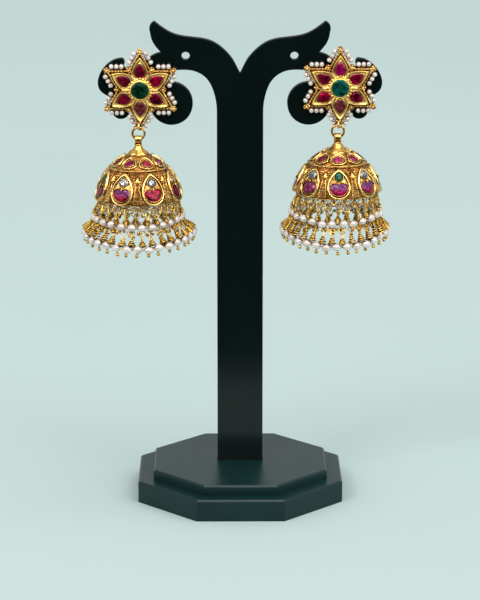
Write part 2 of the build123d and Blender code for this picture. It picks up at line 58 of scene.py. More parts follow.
# ---------------------------------------------------------------- sizes shared with the construction, in mm
PETALS = 6
PLATE_TIP, PLATE_NOTCH, PLATE_THICKNESS = 11.3, 6.5, 1.0
TIP_DISC, NOTCH_DISC = (11.35, 0.85), (6.95, 0.9)  # distance from the centre, radius
PETAL = dict(root=2.2, belly=3.9, tip=9.75, half=2.7, waist=0.66)
STAR_RUBY = dict(root=3.55, belly=5.05, tip=7.95, half=1.75, waist=0.68)
SEED_STRING = ((10.75, 1.72), (8.15, 3.2))  # each end, along the petal and across it
SEED_PEARLS = 3
NUT_THICKNESS, POST_RADIUS = 2.4, 0.55
LOOP_RADIUS, LOOP_WIRE = 1.0, 0.3
RING_RADIUS, RING_WIRE = 1.8, 0.35
BAIL_HOLE, BAIL_RADIUS, BAIL_WIDTH = 0.9, 1.3, 2.0
PANELS = 8
WALL = 0.55
SIDE_ARC = (-6.3, -3.0, 19.5)  # centre radius, centre height, radius of the half section's arc
CAP_ARC = (-7.3, -6.15, 22.4)
RIM_RADIUS, RIM_BAND = 12.2, 1.4
RIDGE_HEIGHT, CAP_TOP, PANEL_LOW = 9.75, 14.15, 0.25
CAP_PANEL_LOW, CAP_PANEL_HIGH = RIDGE_HEIGHT + 0.35, CAP_TOP - 0.3
PANEL_LENGTH, PANEL_WIDTH = 10.0, 7.0
LOWER_STONE, UPPER_STONE = (1.1, 3.8, 5.3), (5.55, 3.0, 2.8)  # foot, length, width
CAP_PANEL_LENGTH, CAP_PANEL_WIDTH = 5.2, 5.0
CAP_STONE = (0.9, 2.8, 3.0)
UPPER_PEARLS, LOWER_PEARLS = 26, 32
ROW_SAG = (0.8, 1.1)  # of the upper and the lower pearl row, lower at front and back than at the sides
FRINGE_PEARL = 1.15
GOLD_DROP = 0.55


class Earring(NamedTuple):
    """One earring of the pair, in mm and degrees. Heights are above the bell's rim, drops below it."""

    side: str
    seed: int
    height: float  # factor on the heights of the bell's section
    turn: float
    foot: float  # radius of the finial's foot
    finial_top: float
    upper_drop: float
    lower_drop: float


EARRINGS = (
    Earring("left", 6, 1.00, 22.5, 2.6, 16.2, 5.5, 10.9),
    Earring("right", 8, 0.94, 0.0, 3.2, 14.9, 6.3, 12.3),
)


# ---------------------------------------------------------------- mesh building
def turns(count, start=0.0):
    return [start + TAU * k / count for k in range(count)]


def axes(direction):
    """Unit vector of a direction, and two more that are square to it."""
    along = direction.normalized()
    side = along.orthogonal().normalized()
    return along, side, along.cross(side)


def spoke(side, up, angle):
    """Direction at an angle from side towards up."""
    return cos(angle) * side + sin(angle) * up


def circle(centre, side, up, radius, angles):
    return [centre + radius * spoke(side, up, a) for a in angles]


def frames(path, closed):
    """Point, side and up at each point of a path, carried along it with no twist."""
    count = len(path)
    tangents = []
    for k in range(count):
        if closed:
            before, after = path[k - 1], path[(k + 1) % count]
        else:
            before, after = path[max(k - 1, 0)], path[min(k + 1, count - 1)]
        tangents.append((after - before).normalized())
    side = tangents[0].orthogonal().normalized()
    result = []
    for point, along in zip(path, tangents):
        side = (side - along * side.dot(along)).normalized()
        result.append((point, side, along.cross(side)))
    return result


def stray(rng, size):
    """Random length, half of a size at most to either side."""
    return size * (rng.random() - 0.5)


def jitter(rng, size):
    return size * Vector((rng.random() - 0.5, rng.random() - 0.5, rng.random() - 0.5))


class Form:
    """Points and faces of one joined piece, in millimetres, with a material number for each face."""

    def __init__(self):
        self.points = []
        self.faces = []
        self.numbers = []
        self.smooth = []

    def face(self, corners, number=0, smooth=True):
        self.faces.append(corners)
        self.numbers.append(number)
        self.smooth.append(smooth)

    def rings(self, rings, number=0, smooth=True, first=False, last=False):
        """Skin through closed rings of equally many points. first and last close the ends with a fan."""
        count = len(rings[0])
        base = len(self.points)
        for ring in rings:
            self.points.extend(ring)
        for a in range(base, base + (len(rings) - 1) * count, count):
            for i in range(count):
                j = (i + 1) % count
                self.face((a + i, a + j, a + count + j, a + count + i), number, smooth)
        for wanted, start in ((first, base), (last, base + (len(rings) - 1) * count)):
            if wanted:
                middle = sum((self.points[start + i] for i in range(count)), Vector()) / count
                self.points.append(middle)
                hub = len(self.points) - 1
                for i in range(count):
                    self.face((start + i, start + (i + 1) % count, hub), number, smooth)

    def stone(self, rings, number=0):
        """Flat-faceted stone."""
        self.rings(rings, number, False, first=True, last=True)

    def tube(self, path, radius, sides=8, closed=False, number=0):
        """Round wire along a path of points."""
        rings = [circle(point, side, up, radius, turns(sides)) for point, side, up in frames(path, closed)]
        if closed:
            self.rings(rings + rings[:1], number)
        else:
            self.rings(rings, number, first=True, last=True)

    def rope(self, path, radius, strand, pitch=0.8, strands=2):
        """Closed rope of wires that are twisted round a path."""
        line = frames(path, True)
        run = [0.0]
        for a, b in zip(path, path[1:]):
            run.append(run[-1] + (b - a).length)
        for shift in turns(strands):
            wire = []
            for (point, side, up), along in zip(line, run):
                wire.append(point + radius * spoke(side, up, TAU * along / pitch + shift))
            self.tube(wire, strand, 6, True)

    def ball(self, centre, radii, axis=Z_AXIS, segments=12, rows=7, number=0):
        """Ball with its own radius along an axis and across it."""
        along, across = radii if isinstance(radii, tuple) else (radii, radii)
        axis, side, up = axes(axis)
        rings = []
        for t in (pi * k / rows for k in range(1, rows)):
            rings.append(circle(centre - axis * along * cos(t), side, up, across * sin(t), turns(segments)))
        base = len(self.points)
        self.rings(rings, number)
        self.points += [centre - axis * along, centre + axis * along]
        low, high = len(self.points) - 2, len(self.points) - 1
        last = base + (rows - 2) * segments
        for i in range(segments):
            j = (i + 1) % segments
            self.face((base + j, base + i, low), number)
            self.face((last + i, last + j, high), number)

    def bead(self, centre, radius, number=0):
        """Small grain of gold."""
        self.ball(centre, radius, segments=8, rows=6, number=number)

    def hoop(self, centre, normal, radius, wire, count=12, sides=6, number=0):
        """Ring of round wire."""
        normal, side, up = axes(normal)
        path = circle(centre, side, up, radius, turns(count))
        rings = [circle(point, (point - centre).normalized(), normal, wire, turns(sides)) for point in path]
        self.rings(rings + rings[:1], number)

    def lathe(self, centre, axis, profile, count, wave=None, closed=False):
        """Turned shape: profile of (radius, distance along the axis)."""
        side = X_AXIS if abs(axis.x) < 0.5 else Y_AXIS
        up = axis.cross(side)
        rings = []
        for r, d in profile:
            rings.append([])
            for a in turns(count):
                reach = r * (wave(a, d) if wave else 1.0)
                rings[-1].append(centre + axis * d + reach * spoke(side, up, a))
        if closed:
            self.rings(rings + rings[:1])
            return
        narrow = 0.3
        self.rings(rings, first=profile[0][0] < narrow, last=profile[-1][0] < narrow)

    def join(self, other):
        base = len(self.points)
        self.points += other.points
        for corners, number, smooth in zip(other.faces, other.numbers, other.smooth):
            self.face(tuple(c + base for c in corners), number, smooth)


def add_object(name, data):
    thing = bpy.data.objects.new(name, data)
    bpy.context.scene.collection.objects.link(thing)
    return thing


def make_piece(name, form, materials, body, replaced):
    """Mesh object of a form, riding on a body in place of its construction nodes."""
    mesh = bpy.data.meshes.new(name)
    mesh.from_pydata([p * MM for p in form.points], [], form.faces)
    mesh.polygons.foreach_set("material_index", form.numbers)
    mesh.polygons.foreach_set("use_smooth", form.smooth)
    work = bmesh.new()
    work.from_mesh(mesh)
    bmesh.ops.remove_doubles(work, verts=work.verts, dist=1e-7)
    bmesh.ops.recalc_face_normals(work, faces=work.faces)
    work.to_mesh(mesh)
    work.free()
    for material in materials:
        mesh.materials.append(material)
    piece = add_object(name, mesh)
    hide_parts(*replaced)
    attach(piece, body)


def joint_place(name):
    for joint in frame["record"]["behaviour"]["joints"]:
        if joint["name"] == name:
            return Vector(joint["pos_m"]) / MM
    raise ValueError(name)


# ---------------------------------------------------------------- outlines in a plane
def arc(a, b, c, count):
    """Points on the circle through a, b and c, from a up to but not including c."""
    (ax, ay), (bx, by), (cx, cy) = a, b, c
    d = 2 * (ax * (by - cy) + bx * (cy - ay) + cx * (ay - by))
    ux = ((ax**2 + ay**2) * (by - cy) + (bx**2 + by**2) * (cy - ay) + (cx**2 + cy**2) * (ay - by)) / d
    uy = ((ax**2 + ay**2) * (cx - bx) + (bx**2 + by**2) * (ax - cx) + (cx**2 + cy**2) * (bx - ax)) / d
    r = hypot(ax - ux, ay - uy)
    start = atan2(ay - uy, ax - ux)
    middle = (atan2(by - uy, bx - ux) - start) % TAU
    sweep = (atan2(cy - uy, cx - ux) - start) % TAU
    if middle > sweep:
        sweep -= TAU
    angles = (start + sweep * k / count for k in range(count))
    return [(ux + r * cos(t), uy + r * sin(t)) for t in angles]


def line(a, b, count):
    return [(a[0] + (b[0] - a[0]) * k / count, a[1] + (b[1] - a[1]) * k / count) for k in range(count)]


def drop(root, belly, tip, half, waist, quarter=10):
    """Closed drop pointing along +x, round at its root."""
    shoulder = belly + 0.55 * (tip - belly)
    return (
        arc((tip, 0), (shoulder, waist * half), (belly, half), quarter)
        + arc((belly, half), (root, 0), (belly, -half), 2 * quarter)
        + arc((belly, -half), (shoulder, -waist * half), (tip, 0), quarter)
    )


def upright_drop(low, length, width, gap=0.0, belly=0.42, waist=0.66, quarter=10):
    """Drop that stands on its round end, pointing along +y."""
    tip = low + length - 1.5 * gap
    lying = drop(low + gap, low + belly * length, tip, width / 2 - gap, waist, quarter)
    return [(-y, x) for x, y in lying]


def heart(low, length, width, quarter, gap=0.0):
    """Wide stone with a small notch at its top, standing on +y."""
    w = width / 2 - gap
    bottom, top = low + gap, low + length - gap
    middle = (bottom + top) / 2
    notch = (0.0, top - 0.07 * length)
    right_top, left_top = (0.45 * w, top), (-0.45 * w, top)
    return (
        arc((-w, middle), (0, bottom), (w, middle), 2 * quarter)
        + arc((w, middle), (0.86 * w, top - 0.1 * length), right_top, quarter // 2)
        + line(right_top, notch, quarter // 2)
        + line(notch, left_top, quarter // 2)
        + arc(left_top, (-0.86 * w, top - 0.1 * length), (-w, middle), quarter // 2)
    )


def blend_outlines(a, b, t):
    return [(p[0] + (q[0] - p[0]) * t, p[1] + (q[1] - p[1]) * t) for p, q in zip(a, b)]


def middle_of(points):
    return sum(x for x, y in points) / len(points), sum(y for x, y in points) / len(points)


def shrink(points, t):
    """Outline drawn towards its middle."""
    cx, cy = middle_of(points)
    return [(cx + (x - cx) * (1 - t), cy + (y - cy) * (1 - t)) for x, y in points]


def grow(points, d):
    """Outline moved outwards by a distance, corners kept."""
    cx, cy = middle_of(points)
    moved = []
    for k, (x, y) in enumerate(points):
        (x0, y0), (x1, y1) = points[k - 1], points[(k + 1) % len(points)]
        nx, ny = y1 - y0, x0 - x1
        size = hypot(nx, ny) or 1.0
        if nx * (x - cx) + ny * (y - cy) < 0:
            nx, ny = -nx, -ny
        moved.append((x + d * nx / size, y + d * ny / size))
    return moved


# ---------------------------------------------------------------- materials
class Shading:
    """Node tree of a material or the world, with the few kinds of node used here."""

    def __init__(self, tree, coordinates="Object"):
        self.tree = tree
        self.place = self.add("TexCoord").outputs[coordinates]

    def feed(self, node, inputs):
        """Set each named input to a value, or link it to an output."""
        for name, value in inputs.items():
            if isinstance(value, bpy.types.NodeSocket):
                self.tree.links.new(value, node.inputs[name])
            else:
                node.inputs[name].default_value = value

    def add(self, kind, inputs=None, **settings):
        node = self.tree.nodes.new("ShaderNode" + kind)
        for name, value in settings.items():
            setattr(node, name, value)
        self.feed(node, inputs or {})
        return node

    def noise(self, scale, detail, rough=0.55):
        inputs = {"Scale": scale, "Detail": detail, "Roughness": rough, "Vector": self.place}
        return self.add("TexNoise", inputs).outputs["Fac"]

    def cells(self, scale):
        return self.add("TexVoronoi", {"Scale": scale, "Vector": self.place}).outputs

    def ramp(self, value, stops):
        node = self.add("ValToRGB", {"Fac": value})
        elements = node.color_ramp.elements
        while len(elements) < len(stops):
            elements.new(0.5)
        for element, (at, color) in zip(elements, stops):
            element.position = at
            element.color = (*color, 1.0)
        return node.outputs["Color"]

    def mix(self, factor, a, b, kind="MIX"):
        inputs = {"Factor": factor, "A": a, "B": b}
        return self.add("Mix", inputs, data_type="RGBA", blend_type=kind).outputs["Result"]

    def span(self, value, low, high, start=0.0, end=1.0):
        inputs = {"From Min": start, "From Max": end, "To Min": low, "To Max": high, "Value": value}
        return self.add("MapRange", inputs).outputs["Result"]

    def bump(self, height, strength, depth, under=None):
        inputs = {"Strength": strength, "Distance": depth, "Height": height}
        if under is not None:
            inputs["Normal"] = under
        return self.add("Bump", inputs).outputs["Normal"]

    def darken(self, tone, reach, low, shadow, high):
        """Tone that turns to shadow where other surfaces are closer than a reach."""
        hollow = self.add("AmbientOcclusion", {"Distance": reach}, samples=4)
        near = self.ramp(hollow.outputs["AO"], [(low, shadow), (high, WHITE)])
        return self.mix(1.0, tone, near, "MULTIPLY")


def shader(name, rough, metal=0.0, coat=0.0, coat_rough=0.05, ior=1.5, specular=0.5):
    material = bpy.data.materials.new(name)
    material.use_nodes = True
    look = Shading(material.node_tree)
    base = material.node_tree.nodes["Principled BSDF"]
    look.feed(base, {"Roughness": rough, "Metallic": metal, "Coat Weight": coat, "Coat Roughness": coat_rough,
                     "IOR": ior, "Specular IOR Level": specular})
    return material, look, base


def gold_material(name, light, deep, shadow, rough, hammer, grain_scale=0.0, crevice_shade=0.22):
    """Worn yellow gold: uneven colour, painted shade that darkens its corners, beaten or grained surface."""
    material, look, base = shader(name, metal=1.0, rough=rough)
    tone = look.ramp(look.noise(420, 4), [(0.3, deep), (0.66, light)])
    beaten = look.bump(look.noise(1500, 3), hammer, 0.00012)
    if grain_scale:
        mounds = look.span(look.cells(grain_scale)["Distance"], 1.0, 0.0)
        beaten = look.bump(mounds, 0.9, 0.00025, beaten)
    # Painted shade: the tone turns to the shadow colour where other surfaces are near.
    look.feed(base, {
        "Base Color": look.darken(tone, 0.0013, crevice_shade, shadow, 0.8),
        "Roughness": look.span(look.noise(900, 5, 0.65), rough * 0.6, rough * 1.5),
        "Normal": look.bump(look.noise(6500, 2), 0.15, 0.00002, beaten),
    })
    return material


def stone_material(name, deep, glow, metal, facet=1100.0, crown=None, coat=0.32):
    """Polished stone over foil: glossy skin over broken light. A crown is another colour above a height."""
    material, look, base = shader(name, metal=metal, rough=0.25, coat=coat, specular=0.15)
    broken = look.cells(facet)
    spread = look.mix(0.5, look.noise(260, 3), broken["Color"])
    grey = look.add("RGBToBW", {"Color": spread}).outputs["Val"]
    tint = look.ramp(grey, [(0.34, deep), (0.66, glow)])
    if crown is not None:
        low, high, dusk = crown
        height = look.add("SeparateXYZ", {"Vector": look.place}).outputs["Z"]
        above = look.add("RGB").outputs["Color"]
        above.default_value = (*dusk, 1.0)
        tint = look.mix(look.span(height, 0.0, 1.0, low * MM, high * MM), tint, above)
    look.feed(base, {"Base Color": tint, "Normal": look.bump(broken["Distance"], 0.55, 0.0002)})
    return material


def pearl_material(name, light, warm, dusk, shade):
    """Lustrous pearl whose tint changes from one to the next, with warm painted shade close to its
    neighbours.
    """
    material, look, base = shader(name, rough=0.4, coat=1.0, coat_rough=0.13, ior=1.55)
    tint = look.ramp(look.noise(330, 2), [(0.36, dusk), (0.5, warm), (0.64, light)])
    look.feed(base, {
        "Coat IOR": 2.0,
        "Base Color": look.darken(tint, 0.0018, 0.25, shade, 0.85),
        "Subsurface Weight": 0.12,
        "Subsurface Radius": (0.0008, 0.0006, 0.0005),
        "Subsurface Scale": 1.0,
        "Normal": look.bump(look.noise(1400, 3), 0.3, 0.00006),
    })
    return material


def black_material(name, color, rough, gloss):
    """Satin black sheet with faint marks of handling."""
    material, look, base = shader(name, rough=rough, specular=gloss)
    worn = tuple(1.35 * part for part in color)
    look.feed(base, {
        "Base Color": look.ramp(look.noise(60, 5), [(0.35, color), (0.7, worn)]),
        "Roughness": look.span(look.noise(45, 6, 0.7), rough * 0.85, rough * 1.2),
        "Normal": look.bump(look.noise(2600, 2), 0.08, 0.00003),
    })
    return material


# Colours of the painted shade in corners: in the star's gold, in the other golds, and in the recess gold.
STAR_SHADOW, SHADOW, DEEP_SHADOW = (0.26, 0.09, 0.015), (0.14, 0.04, 0.007), (0.10, 0.022, 0.004)
# Below this occlusion value the bell's gold takes the full painted shade.
BELL_CREVICE_SHADE = 0.34
GOLD = gold_material("gold", (0.93, 0.59, 0.165), (0.33, 0.14, 0.015), SHADOW, 0.2, 0.8, crevice_shade=BELL_CREVICE_SHADE)
# Painted light: the star's gold is a lighter, yellower copy of the bell's gold, for star faces that catch
# little of the lamps.
STAR_GOLD = gold_material("star_gold", (1.0, 0.78, 0.27), (0.84, 0.49, 0.09), STAR_SHADOW, 0.3, 0.6)
# Lighter copy of the gold for the bells' raised rims: smoother, as polished, and lighter in colour as a
# painted highlight.
POLISH_AND_HIGHLIGHT = gold_material("polished_gold_and_painted_highlight", (0.89, 0.64, 0.24), (0.66, 0.40, 0.10), SHADOW, 0.2, 0.4,
                         crevice_shade=BELL_CREVICE_SHADE)
# Painted highlight: a lighter, rougher copy of the star's gold for the petals' rims, so that they read bright
# all round.
STAR_RIM_HIGHLIGHT = gold_material("star_rim_painted_highlight", (1.0, 0.77, 0.31), (0.95, 0.61, 0.17), STAR_SHADOW, 0.4, 0.3)
GRAINED = gold_material("grained_gold", (0.96, 0.58, 0.20), (0.36, 0.14, 0.02), SHADOW, 0.24, 0.6)
# Painted shade: a darker, grained copy of the gold for the star's backing plate and the bell's wall behind
# the raised work.
RECESS_SHADE = gold_material("recess_gold_painted_shade", (0.50, 0.23, 0.055), (0.10, 0.03, 0.005), DEEP_SHADOW, 0.34, 1.0,
                       grain_scale=2300.0, crevice_shade=0.3)
WIRE = gold_material("gold_wire", (0.90, 0.56, 0.11), (0.36, 0.17, 0.02), SHADOW, 0.22, 0.5)
RUBY_METAL = 0.35
BRIGHT_RUBY = stone_material("bright_ruby", (0.11, 0.0, 0.008), (0.44, 0.0, 0.045), RUBY_METAL)
PINK_RUBY = stone_material("pink_ruby", (0.15, 0.0, 0.03), (0.48, 0.004, 0.12), RUBY_METAL)
DARK_RUBY = stone_material("dark_ruby", (0.04, 0.0, 0.005), (0.26, 0.002, 0.03), RUBY_METAL)
WINE_RUBY = stone_material("wine_ruby", (0.07, 0.008, 0.012), (0.28, 0.045, 0.055), RUBY_METAL)
MAUVE_RUBY = stone_material("mauve_ruby", (0.08, 0.002, 0.02), (0.32, 0.04, 0.15), RUBY_METAL)
LEFT_TWO_TONE = stone_material("left_two_tone_ruby", (0.14, 0.0, 0.012), (0.50, 0.006, 0.07), RUBY_METAL,
                               crown=(95.0, 96.4, (0.17, 0.03, 0.13)))
RIGHT_TWO_TONE = stone_material("right_two_tone_ruby", (0.14, 0.0, 0.02), (0.50, 0.006, 0.09), RUBY_METAL,
                                crown=(96.8, 98.1, (0.16, 0.03, 0.13)))
DARK_EMERALD = stone_material("dark_emerald", (0.0, 0.008, 0.004), (0.003, 0.06, 0.022), 0.4)
EMERALD = stone_material("emerald", (0.0, 0.02, 0.017), (0.004, 0.15, 0.11), 0.45, 900.0)
SMALL_EMERALD = stone_material("small_emerald", (0.0, 0.025, 0.015), (0.002, 0.11, 0.06), 0.2, coat=0.04)
POLKI = stone_material("polki", (0.06, 0.07, 0.09), (0.46, 0.49, 0.54), 0.7, 1900.0)
AMBER = stone_material("brown_polki", (0.20, 0.08, 0.02), (0.72, 0.45, 0.20), 0.6)
DARK_FOIL = stone_material("dark_foil", (0.008, 0.010, 0.010), (0.06, 0.07, 0.065), 0.6)
# The last colour is the painted shade where pearls touch their neighbours.
PEARL = pearl_material("pearl", (0.90, 0.84, 0.82), (0.88, 0.73, 0.67), (0.70, 0.57, 0.52),
                       (0.36, 0.20, 0.09))
BLACK = black_material("black_sheet", (0.0020, 0.0068, 0.0064), 0.16, 0.33)
SHEET_EDGE = black_material("sheet_edge", (0.003, 0.0045, 0.0042), 0.5, 0.12)
BASE_BLACK = black_material("black_base", (0.0008, 0.0200, 0.0205), 0.33, 0.30)


# Material numbers in the gold of studs and bells: body, small grains, the field behind, and raised rims.
# The field's gold is darkened as painted shade, the rims' gold lightened as a painted highlight.
BODY, GRAINS, FIELD, RIM = range(4)


# ---------------------------------------------------------------- star stud
class Star:
    """Places on one stud: along and across a petal, and forward of the backing plate."""

    def __init__(self, side):
        low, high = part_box(f"{side}_star_emerald")
        self.x = (low[0] + high[0]) / 2 / MM
        self.z = (low[2] + high[2]) / 2 / MM
        self.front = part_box(f"{side}_star_frame")[1][1] / MM - PLATE_THICKNESS

    def at(self, turn, along, across, forward):
        c, s = cos(radians(turn)), sin(radians(turn))
        x = self.x + along * c - across * s
        z = self.z + along * s + across * c
        return Vector((x, self.front - forward, z))

    def ring(self, turn, outline, forward):
        return [self.at(turn, u, v, forward) for u, v in outline]


PETAL_TURNS = [90 - 360 / PETALS * k for k in range(PETALS)]
DOWN = -90
# Sections as (part of the way or radius, distance forward).
PLATE_EDGE = ((0.86, -1.0), (0.985, -1.0), (1.0, -0.85), (1.0, -0.18), (0.985, -0.03), (0.95, 0.0))
PETAL_RIM = ((0.0, -0.05), (0.0, 0.95), (0.03, 1.25), (0.1, 1.45), (0.2, 1.5), (0.3, 1.42), (0.4, 1.2))
PETAL_DISH = PETAL_RIM[-1:] + ((0.6, 1.0), (0.76, 0.98), (0.86, 1.06), (0.93, 1.2), (0.98, 1.16), (1.0, 1.0),
                               (1.0, 0.5))
STAR_COLLAR = ((3.3, -0.05), (3.3, 1.0), (3.22, 1.35), (3.05, 1.55), (2.92, 1.62), (2.84, 1.86), (2.72, 1.97),
               (2.62, 1.93), (2.6, 1.8), (2.58, 0.9), (0.1, 0.9))
COLLAR_GRAINS = 12
EDGE_GRAINS = 12


def plate_reach(angle):
    """Distance from the star's centre to the edge of its backing plate in a direction."""
    half = pi / PETALS
    a = abs((angle - pi / 2 + half) % (2 * half) - half)
    tip = Vector((PLATE_TIP, 0))
    notch = Vector((PLATE_NOTCH * cos(half), PLATE_NOTCH * sin(half)))
    ray = Vector((cos(a), sin(a)))
    edge = notch - tip
    reach = (tip.x * edge.y - tip.y * edge.x) / (ray.x * edge.y - ray.y * edge.x)
    for (distance, radius), turn in ((TIP_DISC, 0.0), (NOTCH_DISC, half)):
        along, off = distance * cos(turn - a), distance * sin(turn - a)
        if abs(off) < radius:
            reach = max(reach, along + sqrt(radius**2 - off**2))
    return reach


def grain(form, star, turn, along, across, forward, radius, number=BODY):
    form.ball(star.at(turn, along, across, forward), (radius * 0.85, radius), Y_AXIS, number=number)


def rosette(form, star, turn, along, reach, rng):
    """Five grains round one."""
    forward, radius = 0.3, 0.38
    grain(form, star, turn, along, 0.0, forward + 0.25, radius)
    for a in turns(5, rng.random()):
        size = radius * (0.9 + 0.2 * rng.random())
        grain(form, star, turn, along + reach * cos(a), reach * sin(a), forward, size, GRAINS)


def petal_edge(form, star, turn, edge, rng):
    """Row of grains, inner wire and eyes of the pearl string along one edge of a petal."""
    start, end = star.at(turn, 10.75, edge * 0.2, 0.42), star.at(turn, 6.0, edge * 2.95, 0.42)
    along = (end - start).normalized()
    for k in range(EDGE_GRAINS):
        spot = start.lerp(end, (k + 0.5) / EDGE_GRAINS)
        form.ball(spot, (0.22, 0.3 + 0.06 * rng.random()), along, 10, number=k % 2)
    form.tube([star.at(turn, u, edge * v, 0.12) for u, v in line((10.0, 0.25), (6.05, 2.45), 12)], 0.13, 6)
    (u0, v0), (u1, v1) = SEED_STRING
    for k in range(SEED_PEARLS + 1):
        t = (k + 0.5) / (SEED_PEARLS + 1)
        u = u0 + 0.35 + (u1 - u0 - 0.7) * t
        v = v0 + (v1 - v0) * t - 0.62
        form.hoop(star.at(turn, u, edge * v, -0.12), Y_AXIS, 0.36, 0.13, 14, number=GRAINS)


def star_loop(form, star, hang):
    """Loop that hangs behind the lowest petal, its arm, and the grains that cover its joint."""
    loop = Vector((hang.x, hang.y, hang.z + LOOP_RADIUS))
    form.hoop(loop, X_AXIS, LOOP_RADIUS, LOOP_WIRE, 32, 10)
    top = loop + Vector((0, 0, LOOP_RADIUS))
    form.tube([Vector((top.x, star.front + 0.3, top.z)), Vector((top.x, hang.y + 0.2, top.z))], 0.34, 10)
    for across in (-0.5, 0.5):
        grain(form, star, DOWN, 10.35, across, 0.3, 0.42, GRAINS)
        grain(form, star, DOWN, 9.7, across * 1.6, 0.25, 0.36, GRAINS)
        form.ball(Vector((top.x + across, hang.y + 0.1, top.z + 0.05)), 0.36, number=GRAINS)


def star_frame(side, star, rng):
    form = Form()
    reaches = [(plate_reach(a), a) for a in turns(240)]
    rings = []
    for part, forward in PLATE_EDGE:
        edge = [(reach * part, a) for reach, a in reaches]
        rings.append([star.at(0, r * cos(a), r * sin(a), forward) for r, a in edge])
    # The backing plate takes the painted shade of the field.
    form.rings(rings, FIELD, first=True, last=True)
    outer, inner = drop(**PETAL, quarter=14), drop(**STAR_RUBY, quarter=14)
    for turn in PETAL_TURNS:
        # The rims take the painted highlight of the star's rim gold.
        for section, number, last in ((PETAL_RIM, RIM, False), (PETAL_DISH, BODY, True)):
            rings = [star.ring(turn, blend_outlines(outer, inner, f), h) for f, h in section]
            form.rings(rings, number, last=last)
    form.lathe(Vector((star.x, star.front, star.z)), -Y_AXIS, STAR_COLLAR, 96)
    step = 360 / COLLAR_GRAINS
    for k in range(COLLAR_GRAINS):
        grain(form, star, step * (k + 0.5), 3.28, 0, 1.28, 0.46 + 0.05 * rng.random())
    for k in range(COLLAR_GRAINS):
        grain(form, star, step * k, 3.5, 0, 1.2, 0.3 + 0.05 * rng.random())
    for turn in PETAL_TURNS:
        for edge in (-1, 1):
            petal_edge(form, star, turn, edge, rng)
        if turn != DOWN:
            rosette(form, star, turn, 11.35, 0.6, rng)
            grain(form, star, turn, 12.05, 0.0, 0.1, 0.36, GRAINS)
        notch = turn - 180 / PETALS
        rosette(form, star, notch, 6.75, 0.62, rng)
        for across in (0.3, -0.3):
            grain(form, star, notch, 5.85, across, 0.35, 0.32, GRAINS)
    star_loop(form, star, joint_place(f"{side}_ring_swing"))
    materials = [STAR_GOLD, GRAINED, RECESS_SHADE, STAR_RIM_HIGHLIGHT]
    make_piece(f"{side}_star_gold", form, materials, "stand", [f"{side}_star_frame"])


STAR_COLOURS = {
    "left": (DARK_RUBY, BRIGHT_RUBY, DARK_RUBY, WINE_RUBY, DARK_RUBY, DARK_RUBY),
    "right": (PINK_RUBY, BRIGHT_RUBY, DARK_RUBY, WINE_RUBY, BRIGHT_RUBY, DARK_RUBY),
}
STAR_CENTRES = {"left": DARK_EMERALD, "right": EMERALD}
# Facets of the stones: drawn in by, forward. Of the centre stone: radius, forward, twist by a part of a side.
PETAL_STONE_LEVELS = ((0.0, 0.66), (0.0, 1.0), (0.16, 1.14), (0.42, 1.22))
CENTRE_STONE_LEVELS = ((2.55, 0.98, 0), (2.58, 1.9, 0), (2.2, 2.15, 0.5), (1.5, 2.3, 0))
CENTRE_STONE_SIDES = 16


def star_stones(side, star):
    root, belly, tip, half, waist = STAR_RUBY.values()
    outline = drop(root + 0.06, belly, tip - 0.1, half - 0.06, waist, 3)
    for number, (turn, material) in enumerate(zip(PETAL_TURNS, STAR_COLOURS[side]), start=1):
        form = Form()
        form.stone([star.ring(turn, shrink(outline, f), h) for f, h in PETAL_STONE_LEVELS])
        replaced = [f"{side}_star_ruby_{number}"]
        make_piece(f"{side}_star_stone_{number}", form, [material], "stand", replaced)
    form = Form()
    rings = []
    for radius, forward, twist in CENTRE_STONE_LEVELS:
        corners = turns(CENTRE_STONE_SIDES, twist * TAU / CENTRE_STONE_SIDES)
        rings.append([star.at(0, radius * cos(a), radius * sin(a), forward) for a in corners])
    form.stone(rings)
    replaced = [f"{side}_star_emerald"]
    make_piece(f"{side}_star_centre_stone", form, [STAR_CENTRES[side]], "stand", replaced)


def star_pearls(side, star, rng):
    form = Form()
    for turn in PETAL_TURNS:
        for edge in (-1, 1):
            start, end = [star.at(turn, u, edge * v, 0) for u, v in SEED_STRING]
            along = (end - start).normalized()
            for k in range(SEED_PEARLS):
                place = start.lerp(end, k / (SEED_PEARLS - 1)) + Vector((0, stray(rng, 0.15), 0))
                lean = along + jitter(rng, 0.25)
                form.ball(place, (0.68 + 0.06 * rng.random(), 0.72 + 0.08 * rng.random()), lean, 18, 11)
    make_piece(f"{side}_seed_pearls", form, [PEARL], "stand", [f"{side}_star_pearls"])


def ear_post(side, star):
    """Round nut with a milled edge behind the sheet, and the post through it."""
    form = Form()
    low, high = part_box(f"{side}_ear_post")
    nut = NUT_THICKNESS
    back, front = high[1] / MM, low[1] / MM
    milled = [(POST_RADIUS, 0.0), (2.55, 0.0), (2.9, 0.35), (2.9, nut - 0.5), (2.6, nut - 0.12),
              (1.6, nut - 0.05), (1.3, nut - 0.4), (0.9, nut - 0.4), (0.7, nut - 0.05), (0.1, nut)]
    shaft = [(0.1, 0.0), (POST_RADIUS, 0.0), (POST_RADIUS, back - nut - front + 0.2)]

    def milling(angle, d):
        return 1 + 0.02 * cos(24 * angle) * (0.3 < d < nut - 0.4)

    form.lathe(Vector((star.x, back - nut, star.z)), Y_AXIS, milled, 144, milling)
    form.lathe(Vector((star.x, front, star.z)), Y_AXIS, shaft, 24)
    make_piece(f"{side}_post_and_nut", form, [GOLD], "stand", [f"{side}_ear_post"])


def jump_ring(side):
    form = Form()
    pivot = joint_place(f"{side}_bell_swing")
    loop = joint_place(f"{side}_ring_swing")
    centre = Vector(((pivot.x + loop.x) / 2, pivot.y, pivot.z + RING_RADIUS))
    form.hoop(centre, Y_AXIS, RING_RADIUS, RING_WIRE, 72, 14)
    make_piece(f"{side}_ring_of_wire", form, [GOLD], f"{side}_ring", [f"{side}_jump_ring"])


# ---------------------------------------------------------------- bell
HALF_PANEL = 180 / PANELS  # degrees
AROUND = 160  # points of the bell's round sections


